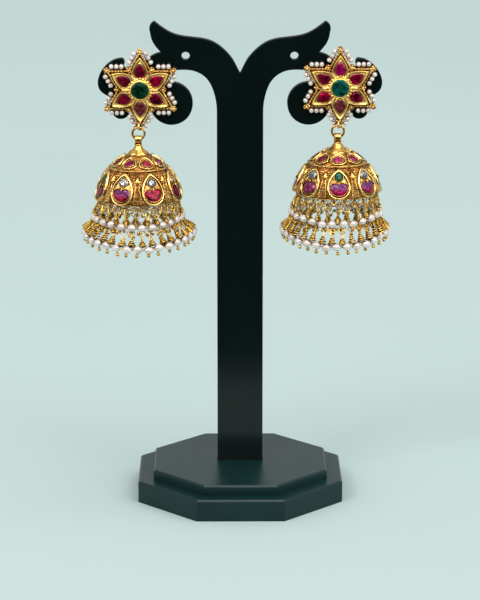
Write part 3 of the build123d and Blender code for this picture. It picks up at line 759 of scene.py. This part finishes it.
class BellShape:
    """Surface of one bell, and places on its panels."""

    def __init__(self, earring):
        side = earring.side
        low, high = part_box(f"{side}_bell")
        self.side = side
        self.x = (low[0] + high[0]) / 2 / MM
        self.y = (low[1] + high[1]) / 2 / MM
        self.rim = low[2] / MM
        self.height = earring.height
        self.foot = earring.foot
        self.finial_top = earring.finial_top
        self.turns = [earring.turn + 360 / PANELS * k for k in range(PANELS)]

    def radius(self, curve, z, proud=0.0):
        cr, ch, size = curve
        h = z / self.height
        return cr + sqrt(max((size + proud) ** 2 - (h - ch) ** 2, 0.01))

    def point(self, angle, radius, z):
        return Vector((self.x + radius * cos(angle), self.y + radius * sin(angle), self.rim + z))

    def ring(self, radius, z, count=AROUND):
        return [self.point(a, radius, z) for a in turns(count)]

    def side_panel(self, turn):
        return self.panel(SIDE_ARC, PANEL_LOW, RIDGE_HEIGHT, turn)

    def cap_panel(self, turn):
        return self.panel(CAP_ARC, CAP_PANEL_LOW, CAP_PANEL_HIGH, turn)

    def panel(self, curve, low, high, turn):
        """Function from (across, up, proud) of a panel to its place on the curved wall."""
        z0, z1 = low * self.height, high * self.height
        r0, r1 = self.radius(curve, z0), self.radius(curve, z1)
        length = hypot(r1 - r0, z1 - z0)
        up_r, up_z = (r1 - r0) / length, (z1 - z0) / length
        out_r, out_z = up_z, -up_r
        a = radians(turn - 90)
        out, across = Vector((cos(a), sin(a), 0)), Vector((-sin(a), cos(a), 0))

        def place(u, v, proud):
            def miss(w):
                z = z0 + v * up_z + w * out_z
                return r0 + v * up_r + w * out_r - sqrt(max(self.radius(curve, z, proud) ** 2 - u * u, 0.01))

            w, step = 0.0, 0.01
            for _ in range(5):
                m = miss(w)
                w -= m * step / (miss(w + step) - m)
            z = z0 + v * up_z + w * out_z
            r = r0 + v * up_r + w * out_r
            return Vector((self.x, self.y, self.rim + z)) + out * r + across * u

        return place


def on_panel(place, outline, proud):
    return [place(u, v, proud) for u, v in outline]


def bezel(form, place, outer, inner, middle, heights):
    """Raised rim between two outlines, and its floor drawn in towards the middle."""
    rings = [on_panel(place, blend_outlines(outer, inner, f), h) for f, h in heights]
    floor = heights[-1][1]
    # The rim takes the painted highlight of the rim material.
    form.rings(rings, RIM)
    rings = rings[-1:]
    for t in (0.25, 0.5, 0.75, 0.93):
        rings.append(on_panel(place, blend_outlines(inner, [middle] * len(inner), t), floor))
    form.rings(rings, GRAINS, last=True)


def collar(form, place, outline, top, thick):
    """Thin rubbed-over edge that holds a stone."""
    low = 0.05
    levels = ((thick, low), (thick * 0.8, top - 0.12), (thick * 0.5, top), (thick * 0.15, top),
              (0.0, top - 0.1), (0.0, low))
    form.rings([on_panel(place, grow(outline, d), h) for d, h in levels])


def cut_stone(form, place, outline, levels, number=0):
    form.stone([on_panel(place, shrink(outline, f), h) for f, h in levels], number)


# Sections of rims and stones: part of the way inwards, height over the wall.
PANEL_RIM = ((0.0, -0.25), (0.0, 0.36), (0.07, 0.58), (0.2, 0.7), (0.58, 0.7), (0.74, 0.56), (0.88, 0.24),
             (1.0, 0.12))
CAP_RIM = ((0.0, -0.25), (0.0, 0.3), (0.1, 0.5), (0.24, 0.58), (0.6, 0.56), (0.76, 0.42), (0.9, 0.2),
           (1.0, 0.12))
LEAF = ((0.0, -0.1), (0.0, 0.25), (0.3, 0.5), (0.7, 0.6))
STONE_LEVELS = ((0.0, -0.1), (0.0, 0.34), (0.12, 0.52), (0.34, 0.64))
ROUND_LEVELS = ((0.0, 0.2), (0.0, 0.5), (0.15, 0.64), (0.45, 0.7))
# Beads between the panels: across, up, radius. Those of the columns stand on both sides of the boss.
COLUMN_BEADS = ((0.95, 8.75, 0.36), (1.6, 8.95, 0.3), (1.0, 8.0, 0.3), (0.85, 7.3, 0.26), (0.72, 6.6, 0.26),
                (1.45, 8.3, 0.24), (0.5, 6.1, 0.24))
CAP_BEADS = ((0.0, 0.0, 0.26), (-0.42, -0.12, 0.22), (0.42, -0.12, 0.22), (0.0, 0.42, 0.18), (0.0, 2.7, 0.2),
             (-0.26, 3.1, 0.18), (0.26, 3.1, 0.18))
# Foot of the finial: parts of its radius and of the finial's height.
FINIAL_LEAF = ((0.97, -0.12), (1.0, -0.02), (0.98, 0.06), (0.88, 0.18), (0.74, 0.34), (0.6, 0.5),
               (0.48, 0.68), (0.4, 0.88))


def bell_wall(form, bell):
    """Outer and inner skin, with a plain band at the rim."""
    outer, inner = [], []
    for curve, low, high, high_inside, steps in (
        (SIDE_ARC, RIM_BAND, RIDGE_HEIGHT, RIDGE_HEIGHT, 24),
        (CAP_ARC, RIDGE_HEIGHT, CAP_TOP, CAP_TOP - WALL, 14),
    ):
        for k in range(steps + 1):
            z = (low + (high - low) * k / steps) * bell.height
            outer.append((bell.radius(curve, z), z))
            z = (low + (high_inside - low) * k / steps) * bell.height
            inner.append((bell.radius(curve, z, -WALL), z))
    rim_in = RIM_RADIUS - WALL
    lip = [(rim_in, 0), ((rim_in + RIM_RADIUS) / 2, -0.05), (RIM_RADIUS, 0.02)]
    # The wall takes the painted shade of the field.
    form.rings([bell.ring(r, z) for r, z in inner[::-1] + lip + outer], FIELD, first=True)


def half_width(shape, v):
    """Half width at a height, straight between the heights given."""
    for (v0, h0), (v1, h1) in zip(shape, shape[1:]):
        if v <= v1:
            return h0 + (h1 - h0) * (v - v0) / (v1 - v0)
    return shape[-1][1]


def bell_columns(form, bell, rng):
    """Grained field with a wire border between the panels, and a tall boss with beads on both sides of it."""
    h = bell.height
    low, length, pitch = 0.5, 6.1 * h, 0.36
    shape = [(low, 1.1), (length / 2, 0.95), (length, 0.42)]
    heights = [low + (length - low) * k / 16 for k in range(17)]
    leaf = upright_drop(6.35 * h, 2.6 * h, 1.15, belly=0.55, quarter=5)
    for turn in bell.turns:
        place = bell.side_panel(turn + HALF_PANEL)
        for edge in (-1, 1):
            form.tube([place(edge * half_width(shape, v), v, 0.16) for v in heights], 0.15, 6)
        for row in range(int((length - 0.9) / pitch)):
            v = 0.75 + pitch * row
            half = half_width(shape, v) - 0.16
            steps = max(int(half / 0.2), 1)
            for k in range(-steps, steps + 1):
                if (k + row) % 2 == 0:
                    spot = place(half * k / steps, v, 0.08 + 0.08 * rng.random())
                    form.ball(spot, 0.19, segments=6, rows=5, number=GRAINS)
        form.rings([on_panel(place, shrink(leaf, f), d) for f, d in LEAF], last=True)
        for across, v, radius in COLUMN_BEADS:
            for edge in (-1, 1):
                form.bead(place(edge * across, v * h, 0.14), radius, rng.randrange(2))


def bell_panels(form, bell):
    length = PANEL_LENGTH * bell.height
    outer = upright_drop(0.0, length, PANEL_WIDTH, 0.0, 0.33 / bell.height, 0.74, 14)
    inner = upright_drop(0.62, length - 1.85, PANEL_WIDTH - 1.4, 0.0, 0.32 / bell.height, 0.76, 14)
    lower, upper = heart(*LOWER_STONE, quarter=12), upright_drop(*UPPER_STONE, quarter=12)
    top = LOWER_STONE[0] + LOWER_STONE[1]
    for turn in bell.turns:
        place = bell.side_panel(turn)
        bezel(form, place, outer, inner, (0.0, 4.0), PANEL_RIM)
        collar(form, place, lower, 0.5, 0.24)
        collar(form, place, upper, 0.48, 0.24)
        claw = place(0.0, top - 0.5, 0.66)
        form.tube([place(0.0, top + 0.45, 0.3), place(0.0, top + 0.05, 0.62), claw], 0.27)
        form.bead(claw, 0.27)
        for u, v, radius in ((-0.85, top + 0.3, 0.22), (0.85, top + 0.3, 0.22), (0.0, length - 1.1, 0.2)):
            form.ball(place(u, v, 0.32), radius, segments=10, rows=6)


def bell_cap(form, bell):
    outer = upright_drop(0.0, CAP_PANEL_LENGTH, CAP_PANEL_WIDTH, 0.0, 0.3, 0.7, 12)
    inner = upright_drop(0.5, CAP_PANEL_LENGTH - 1.5, CAP_PANEL_WIDTH - 1.15, 0.0, 0.3, 0.72, 12)
    for turn in bell.turns:
        place = bell.cap_panel(turn)
        bezel(form, place, outer, inner, (0.0, 2.0), CAP_RIM)
        collar(form, place, upright_drop(*CAP_STONE), 0.46, 0.2)
        between = bell.cap_panel(turn + HALF_PANEL)
        for u, v, radius in CAP_BEADS:
            form.bead(between(u, v, 0.14), radius, GRAINS)
    z = RIDGE_HEIGHT * bell.height
    ridge = bell.radius(SIDE_ARC, z) + 0.06
    lip = ((-0.2, z - 0.12), (0.26, z - 0.04), (0.28, z + 0.08), (-0.3, z + 0.4))
    form.rings([bell.ring(ridge + out, level) for out, level in lip], RIM)
    form.rope(bell.ring(ridge + 0.2, z + 0.12, 2 * AROUND), 0.1, 0.13)


def bail_ribbon():
    """Section of the bail: flat band with raised edges, as (radius, distance along its axis)."""
    near = [(BAIL_HOLE, 0.1), (BAIL_HOLE + 0.08, 0.0), (BAIL_RADIUS - 0.1, 0.0), (BAIL_RADIUS, 0.1),
            (BAIL_RADIUS, 0.28), (BAIL_RADIUS - 0.08, 0.38)]
    half = BAIL_WIDTH / 2
    return [(r, -half + d) for r, d in near] + [(r, half - d) for r, d in reversed(near)]


def bell_finial(form, bell, pivot):
    """Leaved foot, hollow-sided neck, collar ring and the bail that the jump ring passes through."""
    foot = 1.18 * bell.foot
    low = CAP_ARC[1] + sqrt(CAP_ARC[2] ** 2 - (foot - CAP_ARC[0]) ** 2)
    low *= bell.height
    tall = bell.finial_top - low
    stem = 1.02
    bail = pivot.z - bell.rim - BAIL_RADIUS
    profile = [(max(foot * r, stem + 0.04), low + tall * d) for r, d in FINIAL_LEAF]
    profile += [(stem, bell.finial_top), (stem, bail - 0.42), (1.12, bail - 0.36), (1.2, bail - 0.24),
                (1.2, bail - 0.08), (1.08, bail + 0.06), (0.1, bail + 0.14)]

    def leaves(angle, d):
        fade = min(max(0.0, 1 - (d - low) / (0.7 * tall)), 1.0)
        return 1 + 0.08 * fade * cos(PANELS * (angle - radians(bell.turns[0] - 90 + HALF_PANEL)))

    form.lathe(Vector((bell.x, bell.y, bell.rim)), Z_AXIS, profile, 96, leaves)
    for turn in bell.turns:
        spot = bell.point(radians(turn - 90 + HALF_PANEL), foot * 0.82, low + 0.3 * tall)
        form.ball(spot, 0.26, segments=10, rows=6)
    form.lathe(Vector((bell.x, pivot.y, pivot.z)), X_AXIS, bail_ribbon(), 40, closed=True)


def bell_rim(form, bell):
    """Twisted wire round the rim and a row of small loops that carry the fringe."""
    form.rope(bell.ring(RIM_RADIUS + 0.02, 0.28, 420), 0.12, 0.15)
    loops = 2 * UPPER_PEARLS
    for k in range(loops):
        a = TAU * (k + 0.5) / loops
        form.hoop(bell.point(a, RIM_RADIUS - WALL / 2, -0.12), Vector((-sin(a), cos(a), 0)), 0.32, 0.13)


def bell_gold(bell, rng):
    form = Form()
    bell_wall(form, bell)
    bell_columns(form, bell, rng)
    bell_panels(form, bell)
    bell_cap(form, bell)
    bell_finial(form, bell, joint_place(f"{bell.side}_bell_swing"))
    bell_rim(form, bell)
    materials = [GOLD, GRAINED, RECESS_SHADE, POLISH_AND_HIGHLIGHT]
    make_piece(f"{bell.side}_bell_gold", form, materials, f"{bell.side}_drop", [f"{bell.side}_bell"])


BELL_RUBIES = {
    "left": (BRIGHT_RUBY, DARK_RUBY, BRIGHT_RUBY, DARK_RUBY, BRIGHT_RUBY, DARK_RUBY, DARK_RUBY,
             LEFT_TWO_TONE),
    "right": (RIGHT_TWO_TONE, RIGHT_TWO_TONE, DARK_RUBY, BRIGHT_RUBY, PINK_RUBY, DARK_RUBY, BRIGHT_RUBY,
              MAUVE_RUBY),
}
# Upper and cap stones name their material by its place in the tuple of kinds.
UPPER_KINDS = (POLKI, SMALL_EMERALD, AMBER, DARK_FOIL)
UPPER_STONES = {"left": (0, 2, 0, 1, 0, 0, 1, 0), "right": (1, 0, 0, 0, 1, 0, 0, 0)}
CAP_KINDS = (PINK_RUBY, BRIGHT_RUBY, DARK_RUBY, MAUVE_RUBY)
CAP_STONES = {"left": (1, 3, 1, 2, 1, 0, 2, 0), "right": (0, 0, 2, 1, 0, 1, 2, 2)}
ROUND_STONES = {"left": (0, 4), "right": (3,)}  # panels whose upper stone is round, on dark foil
ROUND_RADIUS = 0.95


def bell_stones(bell):
    side, body = bell.side, f"{bell.side}_drop"
    upper, cap = Form(), Form()
    lower_outline = heart(*LOWER_STONE, gap=0.03, quarter=4)
    upper_outline = upright_drop(*UPPER_STONE, gap=0.03, quarter=3)
    cap_outline = upright_drop(*CAP_STONE, gap=0.03, quarter=3)
    middle = UPPER_STONE[0] + 0.42 * UPPER_STONE[1]
    disc = [(ROUND_RADIUS * cos(a), middle + ROUND_RADIUS * sin(a)) for a in turns(16)]
    for number, turn in enumerate(bell.turns):
        place = bell.side_panel(turn)
        form = Form()
        cut_stone(form, place, lower_outline, STONE_LEVELS)
        name, ruby = f"{side}_bell_stone_{number + 1}", BELL_RUBIES[side][number]
        make_piece(name, form, [ruby], body, [f"{side}_bell_ruby_{number + 1}"])
        kind = UPPER_STONES[side][number]
        if number in ROUND_STONES[side]:
            cut_stone(upper, place, upper_outline, STONE_LEVELS[:2], UPPER_KINDS.index(DARK_FOIL))
            cut_stone(upper, place, disc, ROUND_LEVELS, kind)
        else:
            cut_stone(upper, place, upper_outline, STONE_LEVELS, kind)
        cut_stone(cap, bell.cap_panel(turn), cap_outline, STONE_LEVELS, CAP_STONES[side][number])
    make_piece(f"{side}_upper_stones", upper, UPPER_KINDS, body, [f"{side}_bell_upper_stones"])
    make_piece(f"{side}_cap_stones", cap, CAP_KINDS, body, [f"{side}_bell_cap_rubies"])


# ---------------------------------------------------------------- fringe
NET_WIRE = 0.16
ROW_NAMES = ("upper", "lower")
UPPER_ROW, LOWER_ROW = 0, 1
THREAD = 1  # material number of the thread in a row of pearls
SIDE_LIMIT = 0.88  # cosine of the angle from the side, past which the nets carry no extra coils


class Fringe:
    """The two rows of one fringe, as functions of the angle in degrees."""

    def __init__(self, bell, earring):
        self.bell = bell
        self.drops = (earring.upper_drop, earring.lower_drop)
        self.middles = []
        self.reaches = []
        for row in ROW_NAMES:
            low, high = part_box(f"{bell.side}_{row}_pearl_row")
            self.middles.append((low[0] + high[0]) / 2 / MM)
            self.reaches.append((high[0] - low[0]) / 2 / MM - FRINGE_PEARL)

    def place(self, row, angle, lift=0.0, out=0.0):
        a = radians(angle)
        r = self.reaches[row] + out
        z = self.bell.rim - self.drops[row] + ROW_SAG[row] * cos(2 * a) + lift
        return Vector((self.middles[row] + r * cos(a), self.bell.y + r * sin(a), z))

    def outward(self, row, angle):
        return (self.place(row, angle) - self.place(row, angle + 180)).normalized()


def pearl_row(fringe, row, count, rng):
    form, thread = Form(), Form()
    side, name = fringe.bell.side, ROW_NAMES[row]
    pitch = 360 / count
    for k in range(count):
        angle = pitch * (k + stray(rng, 0.12))
        here = fringe.place(row, angle, stray(rng, 0.55), stray(rng, 0.2))
        along = fringe.place(row, angle + 4) - fringe.place(row, angle - 4)
        lean = along.normalized() + jitter(rng, 0.3)
        form.ball(here, (1.3 + 0.16 * rng.random(), 1.08 + 0.12 * rng.random()), lean, 24, 15)
    points = 160
    thread.tube([fringe.place(row, 360 * k / points) for k in range(points)], 0.2, 6, True, THREAD)
    form.join(thread)
    replaced = [f"{side}_{name}_pearl_row"]
    make_piece(f"{side}_{name}_pearls", form, [PEARL, WIRE], f"{side}_drop", replaced)


def wire_to(form, start, end, rng, bow, radius):
    """Thin wire bent by hand between two places."""
    side = (end - start).cross(Z_AXIS).normalized()
    bulge, twist = stray(rng, bow), stray(rng, 0.25 * bow)
    path = []
    for t in (k / 8 for k in range(9)):
        path.append(start.lerp(end, t) + side * (bulge * sin(pi * t) + twist * sin(2 * pi * t)))
    form.tube(path, radius, 6)


def coil(form, foot, axis, low, high, height, rounds, radius, rng):
    """Wire wound in a cone that stands on its foot."""
    axis, side, up = axes(axis)
    start = TAU * rng.random()
    path = []
    steps = rounds * 10
    for t in (k / steps for k in range(steps + 1)):
        spot = spoke(side, up, start + TAU * rounds * t)
        path.append(foot + axis * height * t + (low + (high - low) * t) * spot)
    form.tube(path, radius, 6)


def scroll(form, centre, normal, radius, wire, rng):
    """Small flat spiral."""
    normal, side, up = axes(normal)
    start = TAU * rng.random()
    path = []
    for t in (k / 14 for k in range(15)):
        path.append(centre + radius * (1 - 0.7 * t) * spoke(side, up, start + 1.6 * TAU * t))
    form.tube(path, wire, 6)


def upper_net(fringe, rng):
    """Wires from the rim's loops to coils above the upper row, with scrolls between them at the sides."""
    form = Form()
    bell = fringe.bell
    side, radius = bell.side, RIM_RADIUS - WALL / 2
    pitch = 360 / UPPER_PEARLS
    for k in range(UPPER_PEARLS):
        middle = pitch * (k + 0.5)
        sideways = abs(cos(radians(middle)))
        height = 1.0 + 0.5 * rng.random()
        foot = fringe.place(UPPER_ROW, middle, 0.75)
        crown = foot + Vector((0, 0, height))
        outward = fringe.outward(UPPER_ROW, middle)
        coil(form, foot, crown - foot, 0.5 + 0.1 * rng.random(), 0.3, height, 3, 0.17, rng)
        if rng.random() < 0.5:
            form.bead(foot + Vector((0, 0, 0.5 * height)) + outward * 0.2, 0.36)
        for part in (-0.5, 0.5):
            a = radians(middle + part * pitch * (0.96 + stray(rng, 0.5)))
            top = bell.point(a, radius, -0.42)
            wire_to(form, top, crown - outward * 0.1, rng, 0.6, NET_WIRE * (0.85 + 0.35 * rng.random()))
            if rng.random() < 0.6 + 0.4 * sideways:
                spot = top.lerp(crown, 0.15 + 0.55 * rng.random()) + jitter(rng, 0.3)
                scroll(form, spot, outward + jitter(rng, 1.0), 0.42 + 0.15 * rng.random(), 0.15, rng)
        form.hoop(bell.point(radians(middle), radius, -0.8), outward + jitter(rng, 0.6), 0.42, 0.15)
        for _ in range(int(6 * sideways * (sideways < SIDE_LIMIT))):
            spot = bell.point(radians(middle + pitch * stray(rng, 1)), radius, -1.0).lerp(crown, rng.random())
            if rng.random() < 0.5:
                form.bead(spot, 0.3 + 0.12 * rng.random())
            else:
                scroll(form, spot, outward + jitter(rng, 1.2), 0.5, 0.16, rng)
    make_piece(f"{side}_upper_wires", form, [WIRE], f"{side}_drop", [f"{side}_upper_net"])


def lower_net(fringe, rng):
    """Cones of wound wire on the lower row, taller at the sides, hung by bent wires from the upper one."""
    form = Form()
    side = fringe.bell.side
    pitch = 360 / LOWER_PEARLS
    for k in range(LOWER_PEARLS):
        middle = pitch * (k + 0.5 + stray(rng, 0.15))
        sideways = abs(cos(radians(middle)))
        rich = sideways < SIDE_LIMIT
        foot = fringe.place(LOWER_ROW, middle, 0.75)
        above = fringe.place(UPPER_ROW, middle, -1.0)
        lean = above - foot
        height = min(1.8 + 0.6 * rng.random() + 1.9 * sideways * sideways * rich, 0.75 * lean.length)
        crown = foot + lean.normalized() * height
        rounds = int(3 + 2.5 * sideways)
        outward = fringe.outward(LOWER_ROW, middle)
        spread = 1.2 if rich else 0.95
        coil(form, foot, lean, spread + 0.12 * rng.random(), 0.4, height, rounds, 0.2, rng)
        if rich:
            coil(form, foot + 0.15 * lean.normalized(), lean, 0.75, 0.25, 0.8 * height, rounds, 0.2, rng)
        form.ball(crown, 0.34 + 0.06 * rng.random(), segments=10)
        for part in (-0.5, 0.5):
            if part > 0 and rng.random() < 0.25 * (1 - sideways):
                continue
            top = fringe.place(UPPER_ROW, middle + part * pitch * (0.8 + stray(rng, 0.5)), -0.95)
            wire_to(form, top, crown, rng, 0.9, NET_WIRE * (0.75 + 0.35 * rng.random()))
            if rng.random() < 0.35 + 0.65 * sideways:
                spot = top.lerp(crown, 0.1 + 0.4 * rng.random()) + jitter(rng, 0.3)
                scroll(form, spot, outward + jitter(rng, 1.2), 0.48 + 0.14 * rng.random(), 0.16, rng)
        hanging = fringe.place(UPPER_ROW, middle, -1.25 - 0.3 * rng.random())
        coil(form, hanging, Z_AXIS + jitter(rng, 0.5), 0.3, 0.42, 0.7, 2, 0.16, rng)
        for _ in range(1 + int(7 * sideways * rich)):
            spot = above.lerp(crown, rng.random()) + jitter(rng, 1.1)
            if rng.random() < 0.35:
                form.bead(spot, 0.3 + 0.12 * rng.random())
            else:
                scroll(form, spot, outward + jitter(rng, 1.4), 0.55, 0.17, rng)
    make_piece(f"{side}_lower_wires", form, [WIRE], f"{side}_drop", [f"{side}_lower_net"])


def gold_drops(fringe, rng):
    form = Form()
    side = fringe.bell.side
    pitch = 360 / LOWER_PEARLS
    lift = -FRINGE_PEARL - GOLD_DROP - 0.12
    size = 0.95 * GOLD_DROP
    for k in range(LOWER_PEARLS):
        angle = pitch * (k + stray(rng, 0.25))
        thread = fringe.place(LOWER_ROW, angle, -0.9)
        ball = fringe.place(LOWER_ROW, angle + stray(rng, 1.2), lift + stray(rng, 0.25))
        form.tube([thread, thread.lerp(ball, 0.5), ball], 0.17, 6)
        form.ball(ball, size, thread - ball, 14, 9)
        form.hoop(thread.lerp(ball, 0.45), thread - ball, 0.26, 0.13)
    make_piece(f"{side}_small_drops", form, [WIRE], f"{side}_drop", [f"{side}_gold_drops"])


# ---------------------------------------------------------------- stand
# Node, name, material and softened width.
STAND_PARTS = (
    ("base_lower_tier", "lower_tier", BASE_BLACK, 0.25),
    ("base_upper_tier", "upper_tier", BASE_BLACK, 0.2),
    ("stand_plate", "scrolled_sheet", BLACK, 0.15),
)


def dress_stand():
    """Softened copies of the stand's three parts. The sheet's cut edge is duller than its faces."""
    for node, name, material, width in STAND_PARTS:
        mesh = frame["nodes"][node].data.copy()
        mesh.name = name
        mesh.materials.clear()
        mesh.materials.append(material)
        mesh.materials.append(SHEET_EDGE)
        for face in mesh.polygons:
            face.material_index = int(node == "stand_plate" and abs(face.normal.y) < 0.9)
        piece = add_object(name, mesh)
        edge = piece.modifiers.new("soft_edge", "BEVEL")
        edge.width = width * MM
        edge.segments = 3
        edge.limit_method = "ANGLE"
        edge.angle_limit = radians(40)
        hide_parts(node)
        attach(piece, "stand")


# ---------------------------------------------------------------- stage
FLOOR_DEEP, FLOOR_LIGHT = (0.545, 0.680, 0.660), (0.575, 0.700, 0.680)
TABLE_FRONT, FLOOR_REACH = -0.13, 4.0  # metres
SUN_POWER = 1.13
ROOM = ((0.03, (0.015, 0.018, 0.018)), (0.09, (0.16, 0.17, 0.17)), (0.2, (0.62, 0.64, 0.64)),
        (1.0, (0.66, 0.69, 0.685)))
GLINTS = ((0.55, -0.95, 0.75), (-0.1, -1.1, 0.6), (-1.1, -0.3, 0.5), (1.1, -0.2, 0.6))


def floor():
    """Pale table that ends a little in front of the stand, and the ground round it."""
    material, look, base = shader("pale_floor", rough=0.85, specular=0.15)
    look.feed(base, {"Base Color": look.ramp(look.noise(2.2, 2), [(0.3, FLOOR_DEEP), (0.7, FLOOR_LIGHT)])})
    for name, near, far in (("table", TABLE_FRONT, FLOOR_REACH), ("ground", -FLOOR_REACH, TABLE_FRONT)):
        mesh = bpy.data.meshes.new(name)
        corners = [(x, y, 0) for y in (near, far) for x in (-FLOOR_REACH, FLOOR_REACH)]
        mesh.from_pydata(corners, [], [(0, 1, 3, 2)])
        mesh.materials.append(material)
        piece = add_object(name, mesh)
        piece.visible_glossy = name == "table"


def aim(thing, place, target):
    thing.location = place
    thing.rotation_euler = (Vector(target) - Vector(place)).to_track_quat("-Z", "Y").to_euler()


def area_light(name, place, size, power, color=WHITE, gloss_only=True):
    light = bpy.data.lights.new(name, "AREA")
    light.shape = "RECTANGLE"
    light.size, light.size_y = size
    light.energy = power
    light.color = color
    lamp = add_object(name, light)
    aim(lamp, place, (0.0, 0.0, 0.09))
    lamp.visible_diffuse = not gloss_only


def lights():
    area_light("key", (-1.1, -1.2, 1.5), (0.8, 0.8), 12.0, (1.0, 0.98, 0.95), False)
    area_light("fill", (1.5, -1.4, 0.8), (0.6, 1.2), 6.0, (0.97, 0.99, 1.0), False)
    area_light("strip", (0.0, -0.72, 1.08), (1.5, 0.3), 11.0)
    for number, place in enumerate(GLINTS):
        area_light(f"glint_{number}", place, (0.2, 0.2), 1.5)
    daylight = bpy.data.lights.new("daylight", "SUN")
    daylight.energy = SUN_POWER
    daylight.angle = radians(60)
    aim(add_object("daylight", daylight), (0.35, -0.25, 1.0), (0.0, 0.0, 0.0))


def background():
    """Light room with a dark place straight in front of the sheet, which keeps its gloss black."""
    world = bpy.data.worlds.new("studio")
    bpy.context.scene.world = world
    world.use_nodes = True
    look = Shading(world.node_tree, "Generated")
    toward = look.add("VectorMath", {0: look.place, 1: (0.0, 0.98, 0.2)}, operation="DOT_PRODUCT")
    turned = look.span(toward.outputs["Value"], 0.0, 1.0, -1.0, 1.0)
    look.feed(world.node_tree.nodes["Background"], {"Color": look.ramp(turned, ROOM), "Strength": 0.9})


def camera():
    """A little above the bells, aimed between them and the base."""
    lens = bpy.data.cameras.new("camera")
    lens.lens = 146.7
    lens.sensor_width = 36.0
    lens.clip_end = 20
    view = add_object("camera", lens)
    aim(view, (-0.0051, -0.7197, 0.2436), (0.0, 0.0, 0.0601))
    bpy.context.scene.camera = view
    bpy.context.scene.view_settings.view_transform = "Standard"


# ---------------------------------------------------------------- the whole
camera()
lights()
background()
floor()
dress_stand()
for earring in EARRINGS:
    side = earring.side
    rng = random.Random(earring.seed)
    star = Star(side)
    star_frame(side, star, rng)
    star_stones(side, star)
    star_pearls(side, star, rng)
    ear_post(side, star)
    jump_ring(side)
    bell = BellShape(earring)
    bell_gold(bell, rng)
    bell_stones(bell)
    fringe = Fringe(bell, earring)
    pearl_row(fringe, UPPER_ROW, UPPER_PEARLS, rng)
    pearl_row(fringe, LOWER_ROW, LOWER_PEARLS, rng)
    upper_net(fringe, rng)
    lower_net(fringe, rng)
    gold_drops(fringe, rng)
